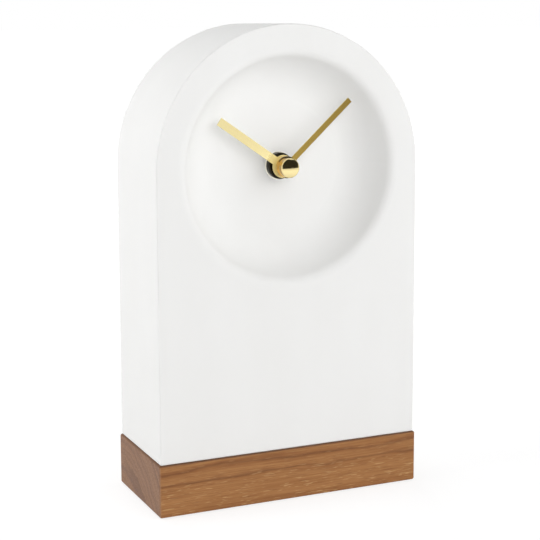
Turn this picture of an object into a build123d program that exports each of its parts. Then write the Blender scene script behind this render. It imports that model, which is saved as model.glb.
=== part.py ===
from build123d import *
import math
import os

# An arched desk clock. A matt white case stands on a wooden plinth, and two plain brass hands
# turn in a round dish in its front. A quartz movement sits in a pocket that is open at the back.
# Lengths are in millimetres. X runs to the right across the front, Y runs to the back and Z runs
# up. The origin lies on the table, below the middle of the plinth.

os.makedirs("parts", exist_ok=True)

# Case and plinth
case_width = 117.8
case_depth = 50.0
case_height = 177.9
case_edge_radius = 0.6
plinth_height = 22.1
plinth_overhang = 0.7
plinth_edge_radius = 0.9

# Dished dial in the front of the case
dish_margin = 9.4
dish_run = 21.5
dish_depth = 13.7
dish_lip_radius = 4.5
dial_wall = 6.0

# Pocket in the back of the case
pocket_side_room = 7.7
pocket_finger_room = 10.0
pocket_corner_radius = 9.0
pocket_edge_radius = 0.8

# Feet, screws and dowels of the plinth
foot_radius = 5.0
foot_thickness = 2.0
foot_recess = 1.7
foot_inset = 11.0
foot_edge_radius = 0.2
screw_spacing = 56.0
screw_head_radius = 4.2
screw_shank_radius = 2.1
screw_length = 45.0
screw_point = 4.0
screw_slot_width = 1.0
screw_slot_length = 4.6
screw_slot_depth = 1.4
dowel_spacing = 86.0
dowel_radius = 4.0
dowel_length = 30.0
dowel_chamfer = 0.8
dowel_end_room = 1.0

# Fits
running_gap = 0.05
press_gap = 0.02
hole_gap = 0.3
overrun = 2.0

# Fittings in the middle of the dial, from the dish floor forward
gasket_radius = 10.0
gasket_thickness = 1.0
washer_radius = 5.85
washer_thickness = 0.6
washer_edge_radius = 0.2
collar_radius = 5.55
collar_height = 2.6
collar_chamfer = 0.6
bush_radius = 4.0
bush_proud = 1.1
flange_radius = 5.6
flange_thickness = 0.7
hour_pipe_radius = 2.55
minute_radius = 1.6
thread_radius = 1.4
thread_length = 2.2
thread_end_room = 0.2

# Hands
hour_hand_reading = -55.6
hour_hand_margin = 14.8
hour_hand_width = 3.5
hour_hand_thickness = 0.6
hour_hub_radius = 4.8
hour_hand_gap = 0.9
hour_boss_radius = 3.5
hour_boss_height = 0.6
boss_gap = 0.5
minute_hand_reading = 47.5
minute_hand_margin = 9.4
minute_hand_width = 2.4
minute_hand_thickness = 0.5
minute_hub_radius = 4.0
minute_boss_radius = 2.5
minute_boss_height = 0.9
cap_flange_radius = 4.6
cap_flange_height = 0.8
cap_radius = 4.1
cap_height = 4.9
cap_chamfer = 0.3
cap_crown = 0.5
cap_flat_radius = 0.15

# Gear teeth
pressure_angle = math.radians(25.0)
addendum_share = 0.8
dedendum_share = 1.05
backlash_share = 0.15
flank_steps = 3
hour_teeth = 48
motion_pinion_teeth = 12
motion_teeth = 45
minute_pinion_teeth = 15
centre_teeth = 80
third_pinion_teeth = 10
third_teeth = 75
seconds_pinion_teeth = 10
seconds_teeth = 50
intermediate_pinion_teeth = 10
intermediate_teeth = 60
rotor_teeth = 10

# Wheels and arbors of the movement
third_distance = 11.7
rotor_distance = 9.2
third_angle = math.radians(60.0)
intermediate_angle = math.radians(-10.0)
rotor_angle = math.radians(40.0)
motion_angle = math.radians(150.0)
wheel_thickness = 0.9
wheel_gap = 0.4
side_gap = 0.4
hub_radius = 0.9
pin_radius = 0.5
pin_seat = 0.9
end_play = 0.15
motion_arbor_radius = 0.9
motion_pivot_radius = 0.6
clutch_seat_radius = 1.3
clutch_radius = 2.6
clutch_thickness = 0.25
arbor_bore_depth = 2.6

# Motor and circuit of the movement
magnet_radius = 2.2
magnet_length = 2.2
air_gap = 0.5
stator_thickness = 1.0
stator_height = 8.0
leg_width = 2.8
leg_spacing = 12.4
coil_rise = 14.6
core_height = 3.0
core_thickness = 1.0
bobbin_wall = 0.5
bobbin_flange = 0.8
coil_height = 7.6
coil_thickness = 5.2
winding_inset = 0.3
board_width = 24.0
board_height = 11.0
board_thickness = 1.0
board_gap = 0.8
post_radius = 1.3
post_inset = 2.5
crystal_radius = 1.0
crystal_length = 6.0
crystal_place_share = 0.3
chip_radius = 2.6
chip_height = 1.0
chip_edge_radius = 0.8
chip_place_share = 0.68

# Battery and its contacts
battery_radius = 7.2
battery_length = 50.5
nub_radius = 2.75
nub_length = 1.4
can_edge_radius = 0.6
sleeve_thickness = 0.2
sleeve_margin = 0.7
bay_gap = 0.3
bay_wall = 1.2
contact_room = 1.55
contact_thickness = 0.4
contact_gap = 0.1
contact_width = 8.0
contact_height = 12.0
strip_width = 2.0
strip_end = 1.5
strip_inset = 4.4
dimple_radius = 2.0
tab_height = 3.0
tab_reach = 2.0
notch_depth = 0.8

# Housing, cover and setting knob of the movement
housing_wall = 1.2
housing_corner_radius = 3.0
cover_thickness = 1.6
cover_gap = 0.3
cover_edge_radius = 0.5
knob_radius = 5.5
knob_height = 4.0
knob_gap = 0.5
knob_flutes = 20
knob_flute_radius = 0.7
knob_chamfer = 0.6
knob_seat = 3.0
ring_gap = 1.0
ring_width = 0.9
ring_height = 0.6

# Levels up the clock
plinth_bottom_z = foot_thickness - foot_recess
case_bottom_z = plinth_bottom_z + plinth_height
case_top_z = case_bottom_z + case_height
dial_z = case_top_z - case_width / 2

# Reach of the dish and of the hands from the dial's axis
dish_radius = case_width / 2 - dish_margin
dish_floor_radius = dish_radius - dish_run
hour_hand_length = dish_radius - hour_hand_margin
minute_hand_length = dish_radius - minute_hand_margin

# Depths from the front of the dial to the front of the movement
front_y = -case_depth / 2
back_y = case_depth / 2
dish_floor_y = front_y + dish_depth
washer_front_y = dish_floor_y - washer_thickness
collar_front_y = washer_front_y - collar_height
bush_front_y = collar_front_y - bush_proud
hour_hand_back_y = bush_front_y - hour_hand_gap
hour_hand_front_y = hour_hand_back_y - hour_hand_thickness
hour_boss_front_y = hour_hand_front_y - hour_boss_height
minute_boss_back_y = hour_boss_front_y - boss_gap
minute_hand_back_y = minute_boss_back_y - minute_boss_height
minute_hand_front_y = minute_hand_back_y - minute_hand_thickness
cap_front_y = minute_hand_front_y - cap_height
pocket_floor_y = dish_floor_y + dial_wall
movement_front_y = pocket_floor_y + gasket_thickness
housing_inner_y = movement_front_y + housing_wall


def storey_y(storey):
    """Front of the wheels in one storey of the train, counted back from the housing's front."""
    return housing_inner_y + wheel_gap + storey * (wheel_thickness + wheel_gap)


magnet_front_y = storey_y(6)
magnet_back_y = magnet_front_y + magnet_length
stator_front_y = magnet_front_y + (magnet_length - stator_thickness) / 2
stator_back_y = stator_front_y + stator_thickness
core_middle_y = stator_back_y + core_thickness / 2
board_back_y = stator_back_y + board_thickness
cover_inner_y = core_middle_y + coil_thickness / 2 + cover_gap
movement_back_y = cover_inner_y + cover_thickness
knob_front_y = movement_back_y + knob_gap
knob_back_y = knob_front_y + knob_height


def pitch_radius(teeth, mate_teeth, distance):
    """Pitch radius of a gear that meshes with its mate at a distance between their axes."""
    return distance * teeth / (teeth + mate_teeth)


def tip_radius(teeth, radius):
    """Radius over the teeth of a gear with a pitch radius."""
    return radius * (1 + 2 * addendum_share / teeth)


# Sizes of the wheels. The axes next to the centre wheel stand just clear of its teeth.
centre_radius = pitch_radius(centre_teeth, third_pinion_teeth, third_distance)
third_pinion_radius = pitch_radius(third_pinion_teeth, centre_teeth, third_distance)
third_radius = pitch_radius(third_teeth, seconds_pinion_teeth, third_distance)
seconds_pinion_radius = pitch_radius(seconds_pinion_teeth, third_teeth, third_distance)
centre_tip = tip_radius(centre_teeth, centre_radius)
intermediate_distance = centre_tip + hub_radius + side_gap
seconds_radius = pitch_radius(seconds_teeth, intermediate_pinion_teeth, intermediate_distance)
intermediate_pinion_radius = pitch_radius(
    intermediate_pinion_teeth, seconds_teeth, intermediate_distance
)
intermediate_radius = pitch_radius(intermediate_teeth, rotor_teeth, rotor_distance)
rotor_radius = pitch_radius(rotor_teeth, intermediate_teeth, rotor_distance)
motion_distance = centre_tip + motion_arbor_radius + side_gap
minute_pinion_radius = pitch_radius(minute_pinion_teeth, motion_teeth, motion_distance)
motion_radius = pitch_radius(motion_teeth, minute_pinion_teeth, motion_distance)
motion_pinion_radius = pitch_radius(motion_pinion_teeth, hour_teeth, motion_distance)
hour_radius = pitch_radius(hour_teeth, motion_pinion_teeth, motion_distance)

# Places of the axes, to the right of the dial's axis and above it
third_x = third_distance * math.cos(third_angle)
third_z = third_distance * math.sin(third_angle)
intermediate_x = intermediate_distance * math.cos(intermediate_angle)
intermediate_z = intermediate_distance * math.sin(intermediate_angle)
rotor_x = intermediate_x + rotor_distance * math.cos(rotor_angle)
rotor_z = intermediate_z + rotor_distance * math.sin(rotor_angle)
motion_x = motion_distance * math.cos(motion_angle)
motion_z = motion_distance * math.sin(motion_angle)

# Outline of the housing, measured from the dial's axis
coil_z = rotor_z + coil_rise
third_top = third_z + tip_radius(third_teeth, third_radius)
coil_top = coil_z + coil_height / 2
room_top_z = max(third_top, coil_top) + side_gap
seconds_tip = tip_radius(seconds_teeth, seconds_radius)
intermediate_low = tip_radius(intermediate_teeth, intermediate_radius) - intermediate_z
room_bottom_z = -max(centre_tip, seconds_tip, intermediate_low) - side_gap
bay_top_z = room_bottom_z - bay_wall
battery_z = bay_top_z - bay_gap - battery_radius
bay_bottom_z = battery_z - battery_radius - bay_gap
housing_top_z = room_top_z + housing_wall
housing_bottom_z = bay_bottom_z - housing_wall
stator_right = rotor_x + (leg_spacing + leg_width) / 2
room_half_width = max(battery_length / 2 + contact_room, stator_right + side_gap)
housing_half_width = room_half_width + housing_wall
battery_y = housing_inner_y + bay_gap + battery_radius
board_left_x = -room_half_width + board_gap
board_right_x = board_left_x + board_width
board_top_z = room_top_z - board_gap
board_bottom_z = board_top_z - board_height


def upright_plane(y):
    """Plane across the clock at a depth, facing the front, with its origin on the table."""
    return Plane.XZ.offset(-y)


def dial_plane(y, x=0, z=0):
    """Plane across the clock at a depth, facing the front, with its origin near the dial's axis."""
    return Plane(origin=(x, y, dial_z + z), x_dir=(1, 0, 0), z_dir=(0, -1, 0))


def arch_face(half_width, bottom_z):
    """Outline with a flat bottom and a half round top about the centre of the arch."""
    with BuildSketch() as face:
        with BuildLine():
            Polyline(
                (-half_width, dial_z),
                (-half_width, bottom_z),
                (half_width, bottom_z),
                (half_width, dial_z),
            )
            ThreePointArc((half_width, dial_z), (0, dial_z + half_width), (-half_width, dial_z))
        make_face()
    return face.sketch


def ring_face(outer_radius, inner_radius):
    """Flat ring about the origin."""
    with BuildSketch() as face:
        Circle(outer_radius)
        Circle(inner_radius, mode=Mode.SUBTRACT)
    return face.sketch


def block_face(left_x, right_x, bottom_z, top_z):
    """Rectangle between four edges, measured from the origin of its plane."""
    with BuildSketch() as face:
        with Locations(((left_x + right_x) / 2, (bottom_z + top_z) / 2)):
            Rectangle(right_x - left_x, top_z - bottom_z)
    return face.sketch


def involute(angle):
    """Angle that an involute has turned through where its pressure angle has a value."""
    return math.tan(angle) - angle


def gear_face(teeth, radius, phase):
    """Involute gear with a pitch radius and the middle of one tooth at a phase angle."""
    base_radius = radius * math.cos(pressure_angle)
    outer_radius = tip_radius(teeth, radius)
    root_radius = radius * (1 - 2 * dedendum_share / teeth)
    start_radius = max(base_radius, root_radius)
    half_tooth = (math.pi / 2 - backlash_share) / teeth
    flank = []
    for step in range(flank_steps + 1):
        point_radius = start_radius + (outer_radius - start_radius) * step / flank_steps
        turned = involute(math.acos(base_radius / point_radius)) - involute(pressure_angle)
        flank.append((point_radius, half_tooth - turned))
    if root_radius < start_radius:
        flank.insert(0, (root_radius, flank[0][1]))
    points = []
    for tooth in range(teeth):
        middle = phase + 2 * math.pi * tooth / teeth
        sides = [(r, middle - spread) for r, spread in flank]
        sides += [(r, middle + spread) for r, spread in reversed(flank)]
        points += [(r * math.cos(a), r * math.sin(a)) for r, a in sides]
    with BuildSketch() as face:
        with BuildLine():
            Polyline(*points, close=True)
        make_face()
    return face.sketch


def mesh_phase(teeth, phase, mate_teeth, direction):
    """Phase of a gear's mate, which lies in a direction from it, so that their teeth mesh."""
    return direction + math.pi - (teeth * (phase - direction) + math.pi) / mate_teeth


pieces = {}

# Plinth
plinth_width = case_width + 2 * plinth_overhang
plinth_depth = case_depth + 2 * plinth_overhang
foot_spacing_x = plinth_width - 2 * foot_inset
foot_spacing_y = plinth_depth - 2 * foot_inset

with BuildPart() as plinth:
    with BuildSketch(Plane.XY.offset(plinth_bottom_z)):
        Rectangle(plinth_width, plinth_depth)
    extrude(amount=plinth_height)
    fillet(plinth.edges(), plinth_edge_radius)
    with BuildSketch(Plane.XY.offset(plinth_bottom_z - overrun)):
        with GridLocations(foot_spacing_x, foot_spacing_y, 2, 2):
            Circle(foot_radius + press_gap)
    extrude(amount=overrun + foot_recess, mode=Mode.SUBTRACT)
    with BuildSketch(Plane.XY.offset(case_bottom_z + overrun)):
        with GridLocations(dowel_spacing, 0, 2, 1):
            Circle(dowel_radius + press_gap)
    extrude(amount=-(overrun + dowel_length / 2 + dowel_end_room), mode=Mode.SUBTRACT)
    with Locations(Plane(origin=(0, 0, plinth_bottom_z), z_dir=(0, 0, -1))):
        with GridLocations(screw_spacing, 0, 2, 1):
            CounterSinkHole(
                screw_shank_radius + press_gap,
                screw_head_radius + press_gap,
                depth=plinth_height,
                counter_sink_angle=90,
            )
pieces["plinth"] = plinth

# Rubber feet, let into the underside of the plinth
for side, foot_x in (("left", -foot_spacing_x / 2), ("right", foot_spacing_x / 2)):
    for end, foot_y in (("front", -foot_spacing_y / 2), ("back", foot_spacing_y / 2)):
        with BuildPart() as foot:
            with BuildSketch(Plane.XY):
                with Locations((foot_x, foot_y)):
                    Circle(foot_radius)
            extrude(amount=foot_thickness)
            fillet(foot.edges().group_by(Axis.Z)[0], foot_edge_radius)
        pieces[f"foot_{end}_{side}"] = foot

# Screws that hold the case down on the plinth
screw_neck = screw_head_radius - screw_shank_radius

with BuildPart() as plinth_screws:
    for screw_x in (-screw_spacing / 2, screw_spacing / 2):
        with BuildSketch(
            Plane(origin=(screw_x, 0, plinth_bottom_z), x_dir=(1, 0, 0), z_dir=(0, -1, 0))
        ):
            with BuildLine():
                Polyline(
                    (0, 0),
                    (screw_head_radius, 0),
                    (screw_shank_radius, screw_neck),
                    (screw_shank_radius, screw_length - screw_point),
                    (0, screw_length),
                    close=True,
                )
            make_face()
        revolve(axis=Axis((screw_x, 0, 0), (0, 0, 1)))
    with BuildSketch(Plane.XY.offset(plinth_bottom_z - overrun)):
        with GridLocations(screw_spacing, 0, 2, 1):
            Rectangle(screw_slot_length, screw_slot_width)
            Rectangle(screw_slot_width, screw_slot_length)
    extrude(amount=overrun + screw_slot_depth, mode=Mode.SUBTRACT)
pieces["plinth_screws"] = plinth_screws

# Dowels between the plinth and the case
with BuildPart() as plinth_dowels:
    with BuildSketch(Plane.XY.offset(case_bottom_z - dowel_length / 2)):
        with GridLocations(dowel_spacing, 0, 2, 1):
            Circle(dowel_radius)
    extrude(amount=dowel_length)
    chamfer(plinth_dowels.edges().filter_by(GeomType.CIRCLE), dowel_chamfer)
pieces["plinth_dowels"] = plinth_dowels

# Case, with the dish in front, the pocket behind and the hole for the movement's bush between
dish_slope = 2 * math.atan(dish_depth / dish_run)
dish_bowl_radius = dish_run / math.sin(dish_slope) - dish_lip_radius
dish_turn_radius = dish_radius - dish_lip_radius * math.sin(dish_slope)
dish_turn_depth = dish_lip_radius * (1 - math.cos(dish_slope))
pocket_half_width = math.hypot(housing_half_width, housing_top_z) + pocket_side_room
pocket_bottom_z = dial_z + housing_bottom_z - pocket_finger_room

with BuildPart() as arch_case:
    with BuildSketch(upright_plane(back_y)):
        add(arch_face(case_width / 2, case_bottom_z))
    extrude(amount=case_depth)
    front_and_back = arch_case.faces().filter_by(Axis.Y)
    outline = front_and_back[0].edges() + front_and_back[1].edges()
    corners = arch_case.edges().filter_by(Axis.Y).group_by(Axis.Z)[0]
    fillet(outline + corners, case_edge_radius)
    with BuildSketch(Plane(origin=(0, front_y, dial_z), z_dir=(0, 0, 1))):
        with BuildLine():
            Polyline((0, dish_depth), (0, -overrun), (dish_radius, -overrun), (dish_radius, 0))
            RadiusArc((dish_radius, 0), (dish_turn_radius, dish_turn_depth), dish_lip_radius)
            RadiusArc(
                (dish_turn_radius, dish_turn_depth),
                (dish_floor_radius, dish_depth),
                -dish_bowl_radius,
            )
            Line((dish_floor_radius, dish_depth), (0, dish_depth))
        make_face()
    revolve(axis=Axis((0, 0, dial_z), (0, 1, 0)), mode=Mode.SUBTRACT)
    with BuildSketch(upright_plane(back_y + overrun)) as pocket_outline:
        add(arch_face(pocket_half_width, pocket_bottom_z))
        fillet(pocket_outline.vertices().group_by(Axis.Y)[0], pocket_corner_radius)
    extrude(amount=overrun + back_y - pocket_floor_y, mode=Mode.SUBTRACT)
    back_face = arch_case.faces().filter_by(Axis.Y).sort_by(Axis.Y)[-1]
    fillet(back_face.inner_wires()[0].edges(), pocket_edge_radius)
    with BuildSketch(dial_plane(pocket_floor_y + overrun)):
        Circle(bush_radius + hole_gap)
    extrude(amount=dial_wall + 2 * overrun, mode=Mode.SUBTRACT)
    with BuildSketch(Plane.XY.offset(case_bottom_z - overrun)):
        with GridLocations(dowel_spacing, 0, 2, 1):
            Circle(dowel_radius + press_gap)
    extrude(amount=overrun + dowel_length / 2 + dowel_end_room, mode=Mode.SUBTRACT)
    with BuildSketch(Plane.XY.offset(case_bottom_z - overrun)):
        with GridLocations(screw_spacing, 0, 2, 1):
            Circle(screw_shank_radius + press_gap)
    extrude(amount=overrun + screw_length - plinth_height + hole_gap, mode=Mode.SUBTRACT)
pieces["arch_case"] = arch_case

# Rubber gasket behind the case's wall, brass washer and round nut in front of it
with BuildPart() as gasket:
    with BuildSketch(dial_plane(movement_front_y)):
        add(ring_face(gasket_radius, bush_radius + hole_gap))
    extrude(amount=gasket_thickness)
pieces["gasket"] = gasket

with BuildPart() as dial_washer:
    with BuildSketch(dial_plane(dish_floor_y)):
        add(ring_face(washer_radius, bush_radius + hole_gap))
    extrude(amount=washer_thickness)
    washer_rim = dial_washer.edges().group_by(Axis.Y)[0].sort_by(SortBy.RADIUS)[-1]
    fillet(washer_rim, washer_edge_radius)
pieces["dial_washer"] = dial_washer

with BuildPart() as collar_nut:
    with BuildSketch(dial_plane(washer_front_y)):
        add(ring_face(collar_radius, bush_radius + press_gap))
    extrude(amount=collar_height)
    collar_rim = collar_nut.edges().group_by(Axis.Y)[0].sort_by(SortBy.RADIUS)[-1]
    chamfer(collar_rim, collar_chamfer)
pieces["collar_nut"] = collar_nut

# Bush of the movement, with a flange in the housing's front wall
with BuildPart() as dial_bush:
    with BuildSketch(dial_plane(housing_inner_y)):
        add(ring_face(bush_radius, hour_pipe_radius + running_gap))
    extrude(amount=housing_inner_y - bush_front_y)
    with BuildSketch(dial_plane(housing_inner_y)):
        add(ring_face(flange_radius, hour_pipe_radius + running_gap))
    extrude(amount=flange_thickness)
pieces["dial_bush"] = dial_bush

# Hour wheel, whose pipe carries the hour hand
motion_pinion_phase = 0
hour_phase = mesh_phase(
    motion_pinion_teeth, motion_pinion_phase, hour_teeth, motion_angle + math.pi
)

with BuildPart() as hour_wheel:
    with BuildSketch(dial_plane(storey_y(0) + wheel_thickness)):
        add(gear_face(hour_teeth, hour_radius, hour_phase))
    extrude(amount=wheel_thickness)
    with BuildSketch(dial_plane(storey_y(0))):
        Circle(hour_pipe_radius)
    extrude(amount=storey_y(0) - hour_boss_front_y)
    with BuildSketch(dial_plane(storey_y(0) + wheel_thickness + overrun)):
        Circle(minute_radius + running_gap)
    extrude(
        amount=storey_y(0) + wheel_thickness - hour_boss_front_y + 2 * overrun,
        mode=Mode.SUBTRACT,
    )
pieces["hour_wheel"] = hour_wheel

with BuildPart() as hour_boss:
    with BuildSketch(dial_plane(hour_hand_back_y)):
        add(ring_face(hour_boss_radius, hour_pipe_radius + press_gap))
    extrude(amount=hour_hand_back_y - hour_boss_front_y)
pieces["hour_boss"] = hour_boss

with BuildPart() as hour_hand:
    with BuildSketch(dial_plane(hour_hand_back_y)):
        Circle(hour_hub_radius)
        with PolarLocations(hour_hand_length / 2, 1, start_angle=90 - hour_hand_reading):
            Rectangle(hour_hand_length, hour_hand_width)
        Circle(hour_boss_radius + press_gap, mode=Mode.SUBTRACT)
    extrude(amount=hour_hand_thickness)
pieces["hour_hand"] = hour_hand

# Minute arbor with its pinion, a seat for the friction clutch behind and a thread in front
minute_pinion_phase = 0
minute_pinion_back_y = storey_y(1) + wheel_thickness
centre_back_y = storey_y(2) + wheel_thickness

with BuildPart() as minute_arbor:
    with BuildSketch(dial_plane(minute_pinion_back_y)):
        add(gear_face(minute_pinion_teeth, minute_pinion_radius, minute_pinion_phase))
    extrude(amount=wheel_thickness)
    with BuildSketch(dial_plane(minute_pinion_back_y)):
        Circle(minute_radius)
    extrude(amount=minute_pinion_back_y - minute_hand_front_y)
    with BuildSketch(dial_plane(minute_hand_front_y)):
        Circle(thread_radius)
    extrude(amount=thread_length)
    with BuildSketch(dial_plane(centre_back_y)):
        Circle(clutch_seat_radius)
    extrude(amount=centre_back_y - minute_pinion_back_y)
    with BuildSketch(dial_plane(centre_back_y + overrun)):
        Circle(pin_radius + running_gap)
    extrude(amount=overrun + arbor_bore_depth, mode=Mode.SUBTRACT)
pieces["minute_arbor"] = minute_arbor

with BuildPart() as clutch_spring:
    with BuildSketch(dial_plane(storey_y(2))):
        add(ring_face(clutch_radius, clutch_seat_radius + press_gap))
    extrude(amount=clutch_thickness)
pieces["clutch_spring"] = clutch_spring

with BuildPart() as minute_boss:
    with BuildSketch(dial_plane(minute_boss_back_y)):
        add(ring_face(minute_boss_radius, minute_radius + press_gap))
    extrude(amount=minute_boss_back_y - minute_hand_front_y)
pieces["minute_boss"] = minute_boss

with BuildPart() as minute_hand:
    with BuildSketch(dial_plane(minute_hand_back_y)):
        Circle(minute_hub_radius)
        with PolarLocations(minute_hand_length / 2, 1, start_angle=90 - minute_hand_reading):
            Rectangle(minute_hand_length, minute_hand_width)
        Circle(minute_boss_radius + press_gap, mode=Mode.SUBTRACT)
    extrude(amount=minute_hand_thickness)
pieces["minute_hand"] = minute_hand

cap_rim = cap_radius - cap_chamfer
cap_shoulder = cap_height - cap_crown
cap_crown_run = cap_rim - cap_flat_radius
cap_crown_radius = (cap_crown_run**2 + cap_crown**2) / (2 * cap_crown)
cap_bore_depth = thread_length + thread_end_room

with BuildPart() as cap_nut:
    with BuildSketch(Plane(origin=(0, minute_hand_front_y, dial_z), z_dir=(0, 0, 1))):
        with BuildLine():
            Polyline(
                (0, -cap_bore_depth),
                (thread_radius + press_gap, -cap_bore_depth),
                (thread_radius + press_gap, 0),
                (cap_flange_radius, 0),
                (cap_flange_radius, -cap_flange_height),
                (cap_radius, -cap_flange_height),
                (cap_radius, cap_chamfer - cap_shoulder),
                (cap_rim, -cap_shoulder),
            )
            RadiusArc((cap_rim, -cap_shoulder), (cap_flat_radius, -cap_height), cap_crown_radius)
            Polyline((cap_flat_radius, -cap_height), (0, -cap_height), (0, -cap_bore_depth))
        make_face()
    revolve(axis=Axis((0, 0, dial_z), (0, 1, 0)))
pieces["cap_nut"] = cap_nut

# Wheels of the going train, each on a steel pin
centre_phase = 0
third_pinion_phase = mesh_phase(centre_teeth, centre_phase, third_pinion_teeth, third_angle)
third_phase = 0
seconds_pinion_phase = mesh_phase(
    third_teeth, third_phase, seconds_pinion_teeth, third_angle + math.pi
)
seconds_phase = 0
intermediate_pinion_phase = mesh_phase(
    seconds_teeth, seconds_phase, intermediate_pinion_teeth, intermediate_angle
)
intermediate_phase = 0
rotor_phase = mesh_phase(intermediate_teeth, intermediate_phase, rotor_teeth, rotor_angle)
motion_phase = mesh_phase(minute_pinion_teeth, minute_pinion_phase, motion_teeth, motion_angle)
hub_front_y = housing_inner_y + end_play
hub_back_y = cover_inner_y - end_play
hub_length = hub_back_y - hub_front_y
pinion_length = wheel_thickness + wheel_gap

with BuildPart() as centre_wheel:
    with BuildSketch(dial_plane(centre_back_y)):
        add(gear_face(centre_teeth, centre_radius, centre_phase))
        Circle(clutch_seat_radius + press_gap, mode=Mode.SUBTRACT)
    extrude(amount=wheel_thickness)
pieces["centre_wheel"] = centre_wheel

with BuildPart() as third_wheel:
    with BuildSketch(dial_plane(storey_y(3), third_x, third_z)):
        add(gear_face(third_pinion_teeth, third_pinion_radius, third_pinion_phase))
    extrude(amount=pinion_length)
    with BuildSketch(dial_plane(storey_y(3) + wheel_thickness, third_x, third_z)):
        add(gear_face(third_teeth, third_radius, third_phase))
    extrude(amount=wheel_thickness)
    with BuildSketch(dial_plane(hub_back_y, third_x, third_z)):
        Circle(hub_radius)
    extrude(amount=hub_length)
    with BuildSketch(dial_plane(hub_back_y + overrun, third_x, third_z)):
        Circle(pin_radius + running_gap)
    extrude(amount=hub_length + 2 * overrun, mode=Mode.SUBTRACT)
pieces["third_wheel"] = third_wheel

seconds_front_y = centre_back_y + end_play
seconds_length = hub_back_y - seconds_front_y

with BuildPart() as seconds_wheel:
    with BuildSketch(dial_plane(storey_y(4))):
        add(gear_face(seconds_pinion_teeth, seconds_pinion_radius, seconds_pinion_phase))
    extrude(amount=pinion_length)
    with BuildSketch(dial_plane(storey_y(4) + wheel_thickness)):
        add(gear_face(seconds_teeth, seconds_radius, seconds_phase))
    extrude(amount=wheel_thickness)
    with BuildSketch(dial_plane(hub_back_y)):
        Circle(hub_radius)
    extrude(amount=seconds_length)
    with BuildSketch(dial_plane(hub_back_y + overrun)):
        Circle(pin_radius + running_gap)
    extrude(amount=seconds_length + 2 * overrun, mode=Mode.SUBTRACT)
pieces["seconds_wheel"] = seconds_wheel

with BuildPart() as intermediate_wheel:
    with BuildSketch(dial_plane(storey_y(5), intermediate_x, intermediate_z)):
        add(
            gear_face(
                intermediate_pinion_teeth, intermediate_pinion_radius, intermediate_pinion_phase
            )
        )
    extrude(amount=pinion_length)
    with BuildSketch(dial_plane(storey_y(5) + wheel_thickness, intermediate_x, intermediate_z)):
        add(gear_face(intermediate_teeth, intermediate_radius, intermediate_phase))
    extrude(amount=wheel_thickness)
    with BuildSketch(dial_plane(hub_back_y, intermediate_x, intermediate_z)):
        Circle(hub_radius)
    extrude(amount=hub_length)
    with BuildSketch(dial_plane(hub_back_y + overrun, intermediate_x, intermediate_z)):
        Circle(pin_radius + running_gap)
    extrude(amount=hub_length + 2 * overrun, mode=Mode.SUBTRACT)
pieces["intermediate_wheel"] = intermediate_wheel

with BuildPart() as rotor_pinion:
    with BuildSketch(dial_plane(storey_y(5) + wheel_thickness, rotor_x, rotor_z)):
        add(gear_face(rotor_teeth, rotor_radius, rotor_phase))
    extrude(amount=wheel_thickness)
    with BuildSketch(dial_plane(hub_back_y, rotor_x, rotor_z)):
        Circle(hub_radius)
    extrude(amount=hub_length)
    with BuildSketch(dial_plane(hub_back_y + overrun, rotor_x, rotor_z)):
        Circle(pin_radius + running_gap)
    extrude(amount=hub_length + 2 * overrun, mode=Mode.SUBTRACT)
pieces["rotor_pinion"] = rotor_pinion

with BuildPart() as rotor_magnet:
    with BuildSketch(dial_plane(magnet_back_y, rotor_x, rotor_z)):
        add(ring_face(magnet_radius, hub_radius + press_gap))
    extrude(amount=magnet_length)
pieces["rotor_magnet"] = rotor_magnet

# Motion wheel, on an arbor that runs out through the cover to the setting knob
with BuildPart() as motion_wheel:
    with BuildSketch(dial_plane(storey_y(1), motion_x, motion_z)):
        add(gear_face(motion_pinion_teeth, motion_pinion_radius, motion_pinion_phase))
    extrude(amount=pinion_length)
    with BuildSketch(dial_plane(storey_y(1) + wheel_thickness, motion_x, motion_z)):
        add(gear_face(motion_teeth, motion_radius, motion_phase))
    extrude(amount=wheel_thickness)
    with BuildSketch(dial_plane(storey_y(0), motion_x, motion_z)):
        Circle(motion_pivot_radius)
    extrude(amount=wheel_gap + pin_seat)
    with BuildSketch(dial_plane(knob_front_y + knob_seat, motion_x, motion_z)):
        Circle(motion_arbor_radius)
    extrude(amount=knob_front_y + knob_seat - storey_y(1))
pieces["motion_wheel"] = motion_wheel

with BuildPart() as setting_knob:
    with BuildSketch(dial_plane(knob_back_y, motion_x, motion_z)):
        Circle(knob_radius)
    extrude(amount=knob_height)
    chamfer(setting_knob.edges().group_by(Axis.Y)[-1], knob_chamfer)
    with BuildSketch(dial_plane(knob_back_y + overrun, motion_x, motion_z)):
        with PolarLocations(knob_radius, knob_flutes):
            Circle(knob_flute_radius)
    extrude(amount=knob_height + 2 * overrun, mode=Mode.SUBTRACT)
    with BuildSketch(dial_plane(knob_front_y - overrun, motion_x, motion_z)):
        Circle(motion_arbor_radius + press_gap)
    extrude(amount=-(overrun + knob_seat), mode=Mode.SUBTRACT)
pieces["setting_knob"] = setting_knob

# Steel pins of the train, pressed into the housing and into the cover
pin_back_y = cover_inner_y + pin_seat
wall_pins = {
    "third_pin": (third_x, third_z),
    "intermediate_pin": (intermediate_x, intermediate_z),
    "rotor_pin": (rotor_x, rotor_z),
}
for name, (pin_x, pin_z) in wall_pins.items():
    with BuildPart() as pin:
        with BuildSketch(dial_plane(pin_back_y, pin_x, pin_z)):
            Circle(pin_radius)
        extrude(amount=pin_back_y - housing_inner_y + pin_seat)
    pieces[name] = pin

with BuildPart() as centre_pin:
    with BuildSketch(dial_plane(pin_back_y)):
        Circle(pin_radius)
    extrude(amount=pin_back_y - centre_back_y + arbor_bore_depth - end_play)
pieces["centre_pin"] = centre_pin

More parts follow.
